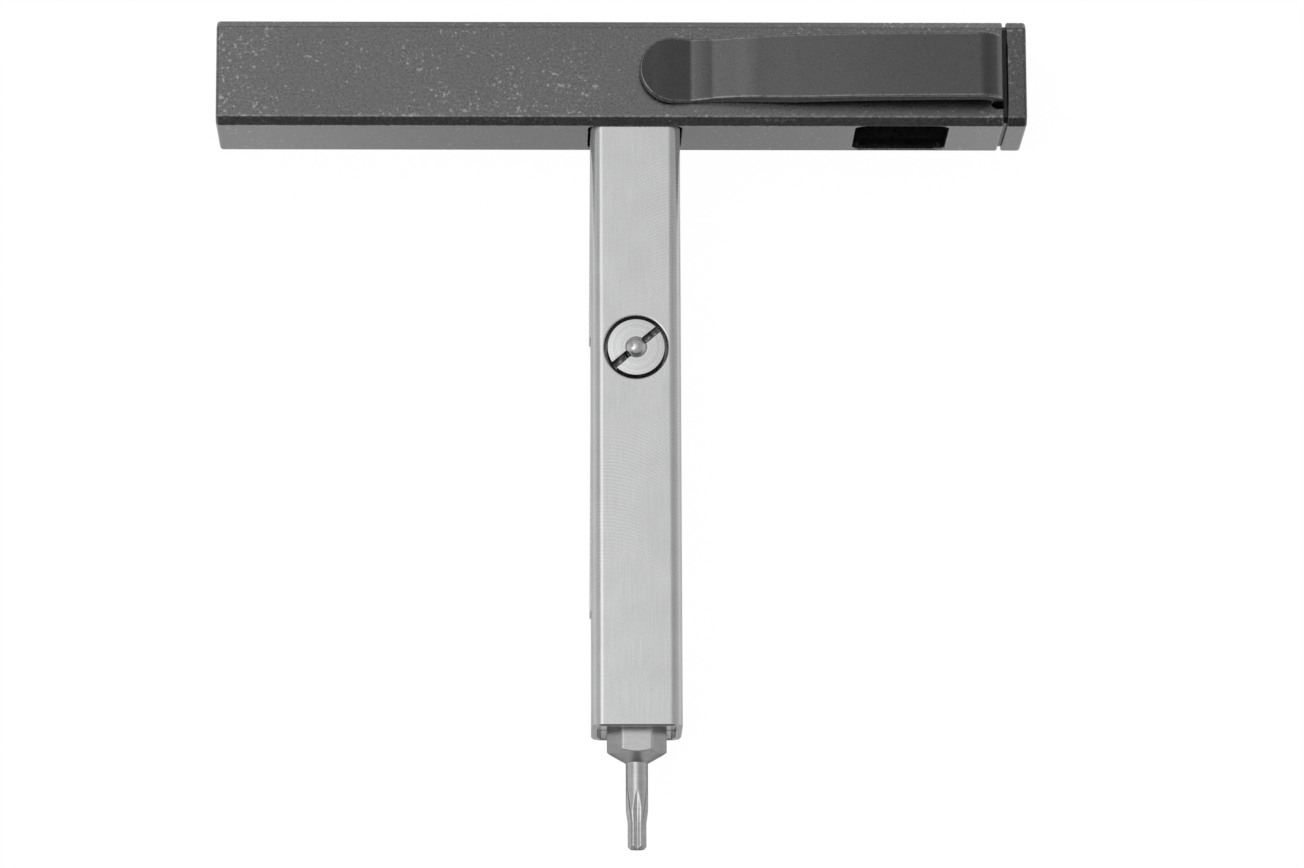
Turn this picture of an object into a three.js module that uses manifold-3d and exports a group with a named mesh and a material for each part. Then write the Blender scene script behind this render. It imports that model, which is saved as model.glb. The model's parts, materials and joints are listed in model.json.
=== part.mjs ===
// A pocket T-handle bit driver: a square sleeve that serves as the handle, with a milled pocket clip,
// and a square stem that plugs into a window of the sleeve and holds a hexagonal insert bit.
// Millimetres, +Z up. The driver lies on the back of its sleeve: the sleeve runs along X with its cap
// at +X, and the stem points along -Y. The origin is under the stem's axis, on the sleeve's back face.
import * as THREE from "three";
import { mergeVertices } from "three/addons/utils/BufferGeometryUtils.js";
import Module from "manifold-3d";

const wasm = await Module();
wasm.setup();

// Insert bits: a quarter-inch hexagon, a cone, a round neck and a six-lobe tip
const bitHex = 6.35;
const bitHexLength = 13.1;
const bitConeLength = 1.4;
const bitNeckDiameter = 2.7;
const bitNeckLength = 5.95;
const bitTaperLength = 1.35;
const bitTipLength = 3.2;
const bitFluteLength = 7.0;
const bitBackChamfer = 0.25;
const bitTipChamfer = 0.3;
const mediumLobe = { outer: 2.31, inner: 1.65 };
const smallLobe = { outer: 1.7, inner: 1.21 };

// Stem: a thin square tube round a solid core with the socket, the detent and a bit store
const socketFit = 0.05;
const socketWall = 1.03;
const socketDepth = 9.55;
const socketLead = 0.1;
const coreFit = 0.05;
const coreRadius = 0.6;
const stemWall = 0.7;
const noseRecess = 1.2;
const stemEndChamfer = 0.25;
const plugFromNose = 46.92;
const storeWall = 7.5;
const storeFit = 0.13;
const storeSpare = 2.0;
const magnetDiameter = 6.0;
const magnetFit = 0.05;
const socketMagnetThickness = 3.0;
const storeMagnetThickness = 2.0;
const magnetChamfer = 0.25;
const tongueWidth = 5.0;
const tongueSlit = 0.45;
const tongueSpring = 0.2;
const tongueRelief = 0.5;
const tongueReliefRadius = 0.25;
const tongueNoseSolid = 14.6;
const tongueTailSolid = 10.4;
const tongueWeb = 6.4;

// Ball detent in the stem's front face: a slotted hollow screw, a ball and its spring
const plugDiameter = 7.0;
const plugRing = 0.45;
const plugRingDepth = 2.4;
const plugFit = 0.05;
const plugDepth = 6.2;
const plugFloorGap = 0.9;
const plugEdgeChamfer = 0.2;
const plugSlotWidth = 0.85;
const plugSlotDepth = 1.2;
const plugSlotRadius = 0.1;
const plugSlotAngle = THREE.MathUtils.degToRad(40);
const ballDiameter = 2.8;
const ballProtrusion = 0.8;
const ballFit = 0.04;
const ballBoreFit = 0.1;
const springWire = 0.35;
const springPitch = 0.84;
const springFit = 0.03;

// Sleeve: a square tube with two windows in its lower wall
const boreFit = 0.15;
const boreRadius = 0.6;
const sleeveWall = 1.0;
const sleeveChamfer = 0.85;
const sleeveEndBreak = 0.35;
const windowFitX = 0.25;
const windowFitZ = 0.1;
const windowRadius = 1.4;
const windowBreak = 0.15;
const openEndFromStem = 51.65;
const windowSpacing = 33.0;
const windowEndWall = 0.6;
const blockThickness = 4.4;
const blockFit = 0.1;
const tailGap = 0.1;

// Pocket clip, held by its foot between the end block and the cap
const clipThickness = 2.3;
const clipTipThickness = 0.75;
const clipFootThickness = 1.6;
const clipLength = 45.0;
const clipWaistWidth = 7.4;
const clipWidth = 8.0;
const clipTipRadius = 4.05;
const clipWaistFromTip = 10.0;
const clipFullFromTip = 23.0;
const clipEdgeChamfer = 0.2;
const clipTipLift = 1.15;
const clipContactFromTip = 6.4;
const clipContactGap = 0.1;
const clipRiseFromTip = 14.5;
const clipRiseGap = 0.35;
const clipRootGap = 1.8;
const clipBendRadius = 1.7;
const clipFootReach = 3.6;
const clipFit = 0.05;
const notchMargin = 0.6;
const notchRadius = 1.0;

// End cap and its countersunk screw
const capThickness = 2.2;
const capNeck = 0.65;
const capNeckInset = 0.5;
const capEdgeBreak = 0.4;
const capFit = 0.05;
const screwDiameter = 3.0;
const screwHeadDiameter = 5.7;
const screwLength = 7.6;
const screwPoint = 0.3;
const screwHoleFit = 0.15;
const screwThreadFit = 0.05;
const screwHeadSink = 0.1;
const screwHex = 2.0;
const screwHexDepth = 1.1;

// Sizes that follow from those above
const bitLength = bitHexLength + bitConeLength + bitNeckLength + bitTaperLength + bitTipLength;
const cosHex = Math.cos(Math.PI / 6);
const bitCorners = bitHex / cosHex;
const socketHex = bitHex + 2 * socketFit;
const coreSide = socketHex / cosHex + 2 * socketWall;
const tubeBore = coreSide + 2 * coreFit;
const stemSide = tubeBore + 2 * stemWall;
const stemRadius = coreRadius + stemWall;
const plugPocketRadius = plugDiameter / 2 + plugFit;
const storeRadius = bitCorners / 2 + storeFit;
const storeDepth = bitLength + storeSpare;
const storeFromNose = plugFromNose + plugPocketRadius + storeWall + storeMagnetThickness + magnetFit;
const stemLength = storeFromNose + storeDepth;
const tongueLength = (stemLength - tongueNoseSolid - tongueTailSolid - tongueWeb) / 2;
const boreSide = stemSide + 2 * boreFit;
const sleeveSide = boreSide + 2 * sleeveWall;
const windowWidth = stemSide + 2 * windowFitX;
const windowDepth = stemSide + 2 * windowFitZ;
const blockStart = windowSpacing + windowWidth / 2 + windowEndWall;
const footStart = blockStart + blockThickness + clipFit;
const sleeveEnd = footStart + clipFootThickness;
const capStart = sleeveEnd + capFit;
const capEnd = capStart + capNeck + capThickness;
const noseY = boreSide / 2 - tailGap - stemLength;
const bitBack = noseRecess + socketDepth;

// Facets
const arcSteps = 6;
const roundSteps = 48;
const past = 1;

// Axes that an outline's x, y and its extrusion take in the part's frame
const xAxis = new THREE.Vector3(1, 0, 0);
const yAxis = new THREE.Vector3(0, 1, 0);
const zAxis = new THREE.Vector3(0, 0, 1);
const alongX = new THREE.Matrix4().makeBasis(yAxis, zAxis, xAxis);
const alongY = new THREE.Matrix4().makeBasis(zAxis, xAxis, yAxis);
const alongMinusY = new THREE.Matrix4().makeBasis(xAxis, zAxis, yAxis.clone().negate());
const alongZ = new THREE.Matrix4();
const plugPlace = new THREE.Matrix4().makeTranslation(0, plugFromNose, 0);

function metal(color, roughness) {
  return new THREE.MeshStandardMaterial({ color, roughness, metalness: 1 });
}

const stonewashed = metal(0x66686b, 0.5);
const blasted = metal(0x56585b, 0.6);
const satinSteel = metal(0xc4c6c8, 0.35);
const coreSteel = metal(0xb4b6b8, 0.45);
const bitSteel = metal(0x9a9c9e, 0.4);
const ballSteel = metal(0xd8dadc, 0.12);
const plating = metal(0xa8abb0, 0.25);
const screwSteel = metal(0x3c3e41, 0.45);

// A geometry as a solid with merged corners, turned to face out
function solid(geometry) {
  const bare = geometry.clone();
  bare.deleteAttribute("normal");
  bare.deleteAttribute("uv");
  const merged = mergeVertices(bare, 1e-4);
  const corners = merged.index.array;
  const triVerts = [];
  for (let i = 0; i < corners.length; i += 3) {
    const [a, b, c] = [corners[i], corners[i + 1], corners[i + 2]];
    if (a !== b && b !== c && c !== a) triVerts.push(a, b, c);
  }
  const vertProperties = new Float32Array(merged.attributes.position.array);
  const make = (triangles) =>
    new wasm.Manifold(new wasm.Mesh({ numProp: 3, vertProperties, triVerts: new Uint32Array(triangles) }));
  const made = make(triVerts);
  return made.volume() < 0 ? make(triVerts.reverse()) : made;
}

// A solid back as a named mesh
function piece(name, body, material) {
  const { numVert, numProp, vertProperties, triVerts } = body.getMesh();
  const position = new Float32Array(numVert * 3);
  for (let i = 0; i < numVert; i++) {
    position.set(vertProperties.subarray(i * numProp, i * numProp + 3), i * 3);
  }
  const geometry = new THREE.BufferGeometry();
  geometry.setAttribute("position", new THREE.BufferAttribute(position, 3));
  geometry.setIndex(new THREE.BufferAttribute(triVerts, 1));
  geometry.computeVertexNormals();
  const mesh = new THREE.Mesh(geometry, material);
  mesh.name = name;
  return mesh;
}

// A rectangle with round corners, centred
function roundedRectangle(width, height, radius) {
  const x = width / 2 - radius;
  const y = height / 2 - radius;
  const shape = new THREE.Shape();
  shape.absarc(x, y, radius, 0, Math.PI / 2);
  shape.absarc(-x, y, radius, Math.PI / 2, Math.PI);
  shape.absarc(-x, -y, radius, Math.PI, 1.5 * Math.PI);
  shape.absarc(x, -y, radius, 1.5 * Math.PI, 2 * Math.PI);
  return shape;
}

// A square with cut corners, centred
function chamferedSquare(side, chamfer) {
  const far = side / 2;
  const near = far - chamfer;
  return new THREE.Shape([
    new THREE.Vector2(far, -near),
    new THREE.Vector2(far, near),
    new THREE.Vector2(near, far),
    new THREE.Vector2(-near, far),
    new THREE.Vector2(-far, near),
    new THREE.Vector2(-far, -near),
    new THREE.Vector2(-near, -far),
    new THREE.Vector2(near, -far),
  ]);
}

// An outline carried from one place to another along an axis, with its end edges broken
function prism(shape, frame, from, to, edgeBreak = 0) {
  const geometry = new THREE.ExtrudeGeometry(shape, {
    depth: to - from - 2 * edgeBreak,
    curveSegments: arcSteps,
    bevelEnabled: edgeBreak > 0,
    bevelThickness: edgeBreak,
    bevelSize: edgeBreak,
    bevelOffset: -edgeBreak,
    bevelSegments: 1,
  });
  return solid(geometry.translate(0, 0, from + edgeBreak).applyMatrix4(frame));
}

// A cutter that widens from an outline by the size of an edge break, then runs on past the surface
function flare(shape, frame, surface, size) {
  const geometry = new THREE.ExtrudeGeometry(shape, {
    depth: past,
    curveSegments: arcSteps,
    bevelThickness: size,
    bevelSize: size,
    bevelSegments: 1,
  });
  return solid(geometry.translate(0, 0, surface).applyMatrix4(frame));
}

// A profile of [radius, height] pairs turned about a frame's extrusion axis
function turned(profile, frame) {
  const points = profile.map(([radius, height]) => new THREE.Vector2(radius, height));
  const geometry = new THREE.LatheGeometry(points, roundSteps);
  return solid(geometry.rotateX(Math.PI / 2).applyMatrix4(frame));
}

function rod(radius, frame, from, to) {
  return turned([[0, from], [radius, from], [radius, to], [0, to]], frame);
}

// A disc with both edges broken
function disc(radius, chamfer, frame, from, to) {
  const inner = radius - chamfer;
  const sides = [[radius, from + chamfer], [radius, to - chamfer]];
  return turned([[0, from], [inner, from], ...sides, [inner, to], [0, to]], frame);
}

// A hexagonal prism with two of its flats facing the first axis of the frame
function hexagon(flats, frame, from, to) {
  const radius = flats / 2 / cosHex;
  const geometry = new THREE.CylinderGeometry(radius, radius, to - from, 6);
  return solid(geometry.translate(0, (from + to) / 2, 0).rotateX(Math.PI / 2).applyMatrix4(frame));
}

// Closed loops of equally many points, skinned in order and closed by a fan at each end
function loft(loops) {
  const count = loops[0].length;
  const positions = loops.flat().flatMap((point) => point.toArray());
  const index = [];
  for (let i = 0; i + 1 < loops.length; i++) {
    for (let j = 0; j < count; j++) {
      const a = i * count + j;
      const b = i * count + ((j + 1) % count);
      index.push(a, b, b + count, a, b + count, a + count);
    }
  }
  for (const [row, flip] of [[0, true], [loops.length - 1, false]]) {
    const centre = new THREE.Vector3();
    loops[row].forEach((point) => centre.addScaledVector(point, 1 / count));
    const hub = positions.length / 3;
    positions.push(...centre.toArray());
    for (let j = 0; j < count; j++) {
      const a = row * count + j;
      const b = row * count + ((j + 1) % count);
      index.push(...(flip ? [hub, b, a] : [hub, a, b]));
    }
  }
  const geometry = new THREE.BufferGeometry();
  geometry.setAttribute("position", new THREE.Float32BufferAttribute(positions, 3));
  geometry.setIndex(index);
  return solid(geometry);
}

// Sleeve: chamfered square outside, rounded square bore, two windows below, a notch for the clip's foot
function makeSleeve() {
  const outside = chamferedSquare(sleeveSide, sleeveChamfer);
  const bore = roundedRectangle(boreSide, boreSide, boreRadius);
  let body = prism(outside, alongX, -openEndFromStem, sleeveEnd, sleeveEndBreak);
  body = body.subtract(prism(bore, alongX, -openEndFromStem - past, sleeveEnd + past));
  const mouth = new THREE.Matrix4().makeBasis(yAxis.clone().negate(), zAxis, xAxis.clone().negate());
  body = body.subtract(flare(bore, mouth, openEndFromStem, sleeveEndBreak));
  for (const x of [0, windowSpacing]) {
    const frame = new THREE.Matrix4().makeTranslation(x, 0, 0).multiply(alongMinusY);
    const outline = roundedRectangle(windowWidth, windowDepth, windowRadius);
    body = body.subtract(prism(outline, frame, boreSide / 2 - past, sleeveSide / 2 + past));
    body = body.subtract(flare(outline, frame, sleeveSide / 2, windowBreak));
  }
  const notchReach = sleeveEnd - footStart + clipFit;
  const notchWidth = clipWidth + 2 * notchMargin;
  const notch = roundedRectangle(2 * notchReach, notchWidth, Math.min(notchRadius, notchReach));
  const place = new THREE.Matrix4().makeTranslation(sleeveEnd, 0, 0);
  return body.subtract(prism(notch, place, boreSide / 2 - past, sleeveSide / 2 + past));
}

// End block: closes the sleeve and takes the cap's screw
function makeEndBlock() {
  const side = boreSide - 2 * blockFit;
  const outline = roundedRectangle(side, side, boreRadius);
  const block = prism(outline, alongX, blockStart, blockStart + blockThickness);
  return block.subtract(rod(screwDiameter / 2 + screwThreadFit, alongX, blockStart - past, footStart + past));
}

// Half the clip's width at a distance from its tip: a round tip, a waist and a slow widening to the arm
function clipHalfWidth(fromTip) {
  const waistHalf = clipWaistWidth / 2;
  const waist = THREE.MathUtils.smoothstep(fromTip, clipTipRadius, clipWaistFromTip);
  const taper = THREE.MathUtils.smoothstep(fromTip, clipWaistFromTip, clipFullFromTip);
  const wide = THREE.MathUtils.lerp(clipTipRadius, waistHalf, waist) + (clipWidth / 2 - waistHalf) * taper;
  const inset = Math.max(clipTipRadius - fromTip, 0);
  return Math.min(wide, Math.sqrt(clipTipRadius ** 2 - inset ** 2));
}

// The clip's thickness on its arm: thin up to the contact point, then growing fast and ever slower
function clipArmThickness(fromTip) {
  const share = THREE.MathUtils.inverseLerp(clipContactFromTip, clipRiseFromTip, fromTip);
  const growth = Math.sin((THREE.MathUtils.clamp(share, 0, 1) * Math.PI) / 2);
  return THREE.MathUtils.lerp(clipTipThickness, clipThickness, growth);
}

// Clip: a chamfered strip carried along the line of its under-side, from the lifted tip over the contact
// point and up the arm, round the bend and down the foot
function makeClip() {
  const top = sleeveSide / 2;
  const tipX = sleeveEnd - clipLength;
  const footX = sleeveEnd - clipFootThickness;
  const bendX = footX - clipBendRadius;
  const arm = new THREE.SplineCurve([
    new THREE.Vector2(tipX, top + clipTipLift),
    new THREE.Vector2(tipX + clipContactFromTip, top + clipContactGap),
    new THREE.Vector2(tipX + clipRiseFromTip, top + clipRiseGap),
    new THREE.Vector2((tipX + clipRiseFromTip + bendX) / 2, top + (clipRiseGap + 2 * clipRootGap) / 3),
    new THREE.Vector2(bendX, top + clipRootGap),
  ]);
  const bendZ = top + clipRootGap - clipBendRadius;
  const bend = new THREE.EllipseCurve(bendX, bendZ, clipBendRadius, clipBendRadius, Math.PI / 2, 0, true);
  const foot = new THREE.LineCurve(new THREE.Vector2(footX, bendZ), new THREE.Vector2(footX, -clipFootReach));
  const tipSteps = 14;
  const armSteps = 26;
  const bendSteps = 8;
  const armLength = arm.getLength();
  const stations = [];
  for (let i = 1; i <= tipSteps; i++) {
    const fromTip = clipTipRadius * (1 - Math.cos((i / tipSteps) * (Math.PI / 2)));
    stations.push([arm, fromTip / armLength]);
  }
  const armStart = clipTipRadius / armLength;
  for (let i = 1; i <= armSteps; i++) stations.push([arm, armStart + ((1 - armStart) * i) / armSteps]);
  for (let i = 1; i <= bendSteps; i++) stations.push([bend, i / bendSteps]);
  stations.push([foot, 1]);
  const strip = stations.map(([curve, u]) => {
    const point = curve.getPointAt(u);
    const tangent = curve.getTangentAt(u);
    const fromTip = point.x - tipX;
    const half = curve === arm ? clipHalfWidth(fromTip) : clipWidth / 2;
    const turning = THREE.MathUtils.lerp(clipThickness, clipFootThickness, curve === bend ? u : 1);
    const thickness = curve === arm ? clipArmThickness(fromTip) : turning;
    const cut = Math.min(clipEdgeChamfer, half / 2, thickness / 3);
    const at = (side, rise) =>
      new THREE.Vector3(point.x - tangent.y * rise, side, point.y + tangent.x * rise);
    return [
      at(half - cut, 0), at(half, cut), at(half, thickness - cut), at(half - cut, thickness),
      at(cut - half, thickness), at(-half, thickness - cut), at(-half, cut), at(cut - half, 0),
    ];
  });
  const hole = rod(screwDiameter / 2 + screwHoleFit, alongX, footX - past, sleeveEnd + past);
  return loft(strip).subtract(hole);
}

// Cap: a flange with the sleeve's outline on a smaller neck, countersunk for the screw
function makeCap() {
  const flangeStart = capStart + capNeck;
  const outside = chamferedSquare(sleeveSide, sleeveChamfer);
  const inside = chamferedSquare(sleeveSide - 2 * capNeckInset, sleeveChamfer);
  const neck = prism(inside, alongX, capStart, flangeStart + capEdgeBreak);
  const flange = prism(outside, alongX, flangeStart, capEnd, capEdgeBreak);
  const hole = screwDiameter / 2 + screwHoleFit;
  const sink = screwHeadDiameter / 2 + screwHoleFit;
  const head = capEnd - screwHeadSink;
  const sinkProfile = [
    [0, capStart - past],
    [hole, capStart - past],
    [hole, head - (sink - hole)],
    [sink, head],
    [sink, capEnd + past],
    [0, capEnd + past],
  ];
  return neck.add(flange).subtract(turned(sinkProfile, alongX));
}

// Countersunk screw with a hexagonal socket
function makeCapScrew() {
  const head = capEnd - screwHeadSink;
  const shank = screwDiameter / 2;
  const rim = screwHeadDiameter / 2;
  const end = head - screwLength;
  const profile = [
    [0, end],
    [shank - screwPoint, end],
    [shank, end + screwPoint],
    [shank, head - (rim - shank)],
    [rim, head],
    [0, head],
  ];
  return turned(profile, alongX).subtract(hexagon(screwHex, alongX, head - screwHexDepth, head + past));
}

// Where the spring tongues lie along the stem: each from its free end, nearer the nose, to its root
function tongueSpans() {
  const freeEnds = [tongueNoseSolid, tongueNoseSolid + tongueLength + tongueWeb];
  return freeEnds.map((free) => [free, free + tongueLength]);
}

// Stem tube, from the nose at y = 0 to the tail, with its spring tongues bent outwards from the side wall
function makeStemTube() {
  const outline = roundedRectangle(stemSide, stemSide, stemRadius);
  const bore = roundedRectangle(tubeBore, tubeBore, coreRadius);
  let body = prism(outline, alongY, 0, stemLength, stemEndChamfer);
  body = body.subtract(prism(bore, alongY, -past, stemLength + past));
  body = body.subtract(rod(plugDiameter / 2 + plugRing, plugPlace, 0, stemSide));
  const outer = -stemSide / 2;
  for (const [free, root] of tongueSpans()) {
    const gap = roundedRectangle(tongueWidth + 2 * tongueSlit, root - free + tongueSlit, tongueSlit);
    const place = new THREE.Matrix4().makeTranslation(outer, (root + free - tongueSlit) / 2, 0);
    const across = new THREE.Matrix4().makeBasis(zAxis, yAxis, xAxis.clone().negate());
    body = body.subtract(prism(gap, place.multiply(across), -2 * stemWall, past));
    const leaf = new THREE.Shape([
      new THREE.Vector2(outer, root + stemWall),
      new THREE.Vector2(outer, root),
      new THREE.Vector2(outer - tongueSpring, free),
      new THREE.Vector2(outer - tongueSpring + stemWall, free),
      new THREE.Vector2(outer + stemWall, root),
      new THREE.Vector2(outer + stemWall, root + stemWall),
    ]);
    body = body.add(prism(leaf, alongZ, -tongueWidth / 2, tongueWidth / 2));
  }
  return body;
}

// Core: socket and magnet seat at the nose, pocket for the detent, bit store with its magnet at the tail
function makeStemCore() {
  const socketEnd = noseRecess + socketDepth + magnetFit;
  const seat = magnetDiameter / 2 + magnetFit;
  const tail = stemLength - stemEndChamfer;
  const outline = roundedRectangle(coreSide, coreSide, coreRadius);
  let body = prism(outline, alongY, noseRecess, tail);
  body = body.subtract(hexagon(socketHex, alongY, noseRecess - past, socketEnd));
  const lead = socketHex / cosHex / 2 + socketLead;
  const mouth = [[0, noseRecess - past], [lead + past, noseRecess - past], [0, noseRecess + lead]];
  body = body.subtract(turned(mouth, alongY));
  const socketSeatEnd = socketEnd + socketMagnetThickness + magnetFit;
  body = body.subtract(rod(seat, alongY, socketEnd - magnetFit, socketSeatEnd));
  body = body.subtract(rod(plugPocketRadius, plugPlace, stemSide / 2 - plugDepth, stemSide));
  body = body.subtract(rod(plugDiameter / 2 + plugRing, plugPlace, stemSide / 2 - plugRingDepth, stemSide));
  body = body.subtract(rod(storeRadius, alongY, storeFromNose, stemLength + past));
  const storeSeatStart = storeFromNose - storeMagnetThickness - magnetFit;
  body = body.subtract(rod(seat, alongY, storeSeatStart, storeFromNose + past));
  for (const [free, root] of tongueSpans()) {
    const width = tongueWidth + 2 * tongueSlit;
    const relief = roundedRectangle(2 * tongueRelief, width, tongueReliefRadius);
    const place = new THREE.Matrix4().makeTranslation(-coreSide / 2, 0, 0);
    const turn = new THREE.Matrix4().makeBasis(xAxis.clone().negate(), zAxis, yAxis);
    body = body.subtract(prism(relief, place.multiply(turn), free - tongueSlit, root));
  }
  return body;
}

// A round magnet along the stem
function makeMagnet(from, to) {
  return disc(magnetDiameter / 2, magnetChamfer, alongY, from, to);
}

// An insert bit along -Y from its back end at y = 0: hexagon, cone, neck and fluted tip
function makeBit(lobe) {
  const corner = bitCorners / 2 + socketFit;
  const back = bitHex / 2 - bitBackChamfer;
  const neck = bitNeckDiameter / 2;
  const tip = lobe.outer / 2;
  const coneEnd = bitHexLength + bitConeLength;
  const neckEnd = coneEnd + bitNeckLength;
  const profile = [
    [0, 0],
    [back, 0],
    [corner, back - corner],
    [corner, -bitHexLength],
    [neck, -coneEnd],
    [neck, -neckEnd],
    [tip, -neckEnd - bitTaperLength],
    [tip, -bitLength + bitTipChamfer],
    [tip - bitTipChamfer, -bitLength],
    [0, -bitLength],
  ];
  const body = turned(profile, alongY).intersect(hexagon(bitHex, alongY, -bitLength - past, past));
  const loop = (y, widen) =>
    Array.from({ length: roundSteps }, (_, i) => {
      const angle = (i / roundSteps) * 2 * Math.PI;
      const depth = ((1 + Math.cos(6 * angle)) / 4) * (lobe.outer - lobe.inner);
      const radius = tip - depth + widen;
      return new THREE.Vector3(radius * Math.sin(angle), y, radius * Math.cos(angle));
    });
  const runOut = neck - lobe.inner / 2;
  const flutes = loft([
    loop(-bitLength - past, 0),
    loop(-bitLength + bitTipLength, 0),
    loop(-bitLength + bitFluteLength, runOut),
  ]);
  return body.intersect(flutes.add(rod(bitCorners, alongY, -bitLength + bitFluteLength, past)));
}

// Hollow screw of the detent, seen from its slotted face at z = 0: a lip that holds the ball, and its bore
function makeDetentPlug() {
  const radius = plugDiameter / 2;
  const ball = ballDiameter / 2;
  const centre = ballProtrusion - ball;
  const mouth = Math.sqrt(ball ** 2 - centre ** 2) + ballFit;
  const bore = ball + ballBoreFit;
  const end = -plugDepth + plugFloorGap;
  const profile = [
    [mouth, 0],
    [radius - plugEdgeChamfer, 0],
    [radius, -plugEdgeChamfer],
    [radius, end],
    [bore, end],
    [bore, centre],
    [mouth, 0],
  ];
  const slot = roundedRectangle(plugDiameter + past, plugSlotWidth, plugSlotRadius);
  const across = new THREE.Matrix4().makeRotationZ(plugSlotAngle);
  return turned(profile, alongZ).subtract(prism(slot, across, -plugSlotDepth, past));
}

function makeDetentBall() {
  const radius = ballDiameter / 2;
  return solid(new THREE.SphereGeometry(radius, 32, 20).translate(0, 0, ballProtrusion - radius));
}

// Detent spring: one wire wound up a helix from the pocket's floor to the under-side of the ball
function makeDetentSpring() {
  const wire = springWire / 2;
  const ball = ballDiameter / 2;
  const coil = ball + ballBoreFit - springFit - springWire;
  const reach = ball + wire + springFit;
  const topZ = ballProtrusion - ball - Math.sqrt(reach ** 2 - coil ** 2);
  const bottomZ = -plugDepth + wire + springFit;
  const turns = Math.max(1, Math.floor((topZ - bottomZ) / springPitch));
  const pitch = (topZ - bottomZ) / turns;
  const steps = 12;
  const sides = 6;
  const loops = Array.from({ length: turns * steps + 1 }, (_, i) => {
    const angle = (i / steps) * 2 * Math.PI;
    const out = new THREE.Vector3(Math.cos(angle), Math.sin(angle), 0);
    const centre = out.clone().multiplyScalar(coil).setZ(bottomZ + (pitch * i) / steps);
    return Array.from({ length: sides }, (_, j) => {
      const round = (j / sides) * 2 * Math.PI;
      const sideways = centre.clone().addScaledVector(out, wire * Math.cos(round));
      return sideways.addScaledVector(zAxis, wire * Math.sin(round));
    });
  });
  let least = Infinity;
  for (let i = 0; i < loops.length; i++) {
    for (let j = i + steps / 2; j < loops.length; j++) {
      for (const a of loops[i]) {
        for (const b of loops[j]) least = Math.min(least, a.distanceTo(b));
      }
    }
  }
  console.log(`detent spring: ${turns} turns, least gap between turns ${least.toFixed(2)} mm`);
  return loft(loops);
}

// The handle: everything that stays with the sleeve
const handle = new THREE.Group();
handle.add(
  piece("sleeve", makeSleeve(), stonewashed),
  piece("end_block", makeEndBlock(), stonewashed),
  piece("pocket_clip", makeClip(), blasted),
  piece("end_cap", makeCap(), stonewashed),
  piece("cap_screw", makeCapScrew(), screwSteel),
);

// The detent, placed with its face flush with the stem's front
const detent = new THREE.Group();
detent.position.set(0, plugFromNose, stemSide / 2);
detent.add(
  piece("detent_plug", makeDetentPlug(), satinSteel),
  piece("detent_ball", makeDetentBall(), ballSteel),
  piece("detent_spring", makeDetentSpring(), plating),
);

// The stem, with its nose at the group's origin and its tail along +Y
const stem = new THREE.Group();
stem.position.set(0, noseY, 0);
const driverBit = piece("driver_bit", makeBit(mediumLobe), bitSteel);
driverBit.position.y = bitBack;
const spareBit = piece("spare_bit", makeBit(smallLobe), bitSteel);
spareBit.position.y = storeFromNose + magnetFit;
spareBit.rotation.z = Math.PI;
const socketMagnetFrom = bitBack + magnetFit;
const socketMagnetTo = socketMagnetFrom + socketMagnetThickness;
const storeMagnetFrom = storeFromNose - storeMagnetThickness;
stem.add(
  piece("stem_tube", makeStemTube(), satinSteel),
  piece("stem_core", makeStemCore(), coreSteel),
  piece("socket_magnet", makeMagnet(socketMagnetFrom, socketMagnetTo), plating),
  piece("store_magnet", makeMagnet(storeMagnetFrom, storeFromNose), plating),
  driverBit,
  spareBit,
  detent,
);

const bitDriver = new THREE.Group();
bitDriver.position.z = sleeveSide / 2;
bitDriver.add(handle, stem);

export default bitDriver;
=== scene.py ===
"""A pocket bit driver, dressed for a studio picture.

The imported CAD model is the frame. Its boxes give the places and the overall sizes of the pieces, and each
class below adds the sizes that a box can't tell. The sleeve runs along X with its cap at +X, the stem points
along -Y, and the driver lies on the back of its sleeve with the clip on top.
"""
import json
import logging
import math
from collections.abc import Callable, Mapping, Sequence
from dataclasses import dataclass, field, replace
from enum import Enum
from functools import partial, reduce

import bpy
import numpy as np
from mathutils import Matrix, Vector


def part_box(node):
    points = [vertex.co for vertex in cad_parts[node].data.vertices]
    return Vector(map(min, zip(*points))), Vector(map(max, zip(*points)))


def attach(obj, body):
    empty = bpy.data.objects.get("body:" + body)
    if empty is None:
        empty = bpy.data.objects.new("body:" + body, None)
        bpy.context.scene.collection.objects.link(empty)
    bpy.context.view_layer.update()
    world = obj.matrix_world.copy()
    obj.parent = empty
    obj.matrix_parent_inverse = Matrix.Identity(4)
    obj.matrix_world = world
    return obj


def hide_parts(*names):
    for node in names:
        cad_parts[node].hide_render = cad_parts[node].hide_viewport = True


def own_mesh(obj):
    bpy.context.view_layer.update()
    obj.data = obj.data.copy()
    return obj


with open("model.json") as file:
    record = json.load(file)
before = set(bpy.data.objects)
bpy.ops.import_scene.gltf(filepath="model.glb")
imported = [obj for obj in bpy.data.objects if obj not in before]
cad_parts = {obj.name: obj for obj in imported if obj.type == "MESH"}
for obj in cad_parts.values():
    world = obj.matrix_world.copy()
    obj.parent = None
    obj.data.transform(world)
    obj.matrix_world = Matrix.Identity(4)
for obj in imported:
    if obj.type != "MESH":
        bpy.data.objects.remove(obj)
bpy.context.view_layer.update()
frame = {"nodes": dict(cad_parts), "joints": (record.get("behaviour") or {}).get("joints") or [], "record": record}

LOG = logging.getLogger("bit_driver")
MM = 0.001
Span = tuple[float, float]
Triple = tuple[float, float, float]
Colour = tuple[float, float, float]


# Shader arithmetic


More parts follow.
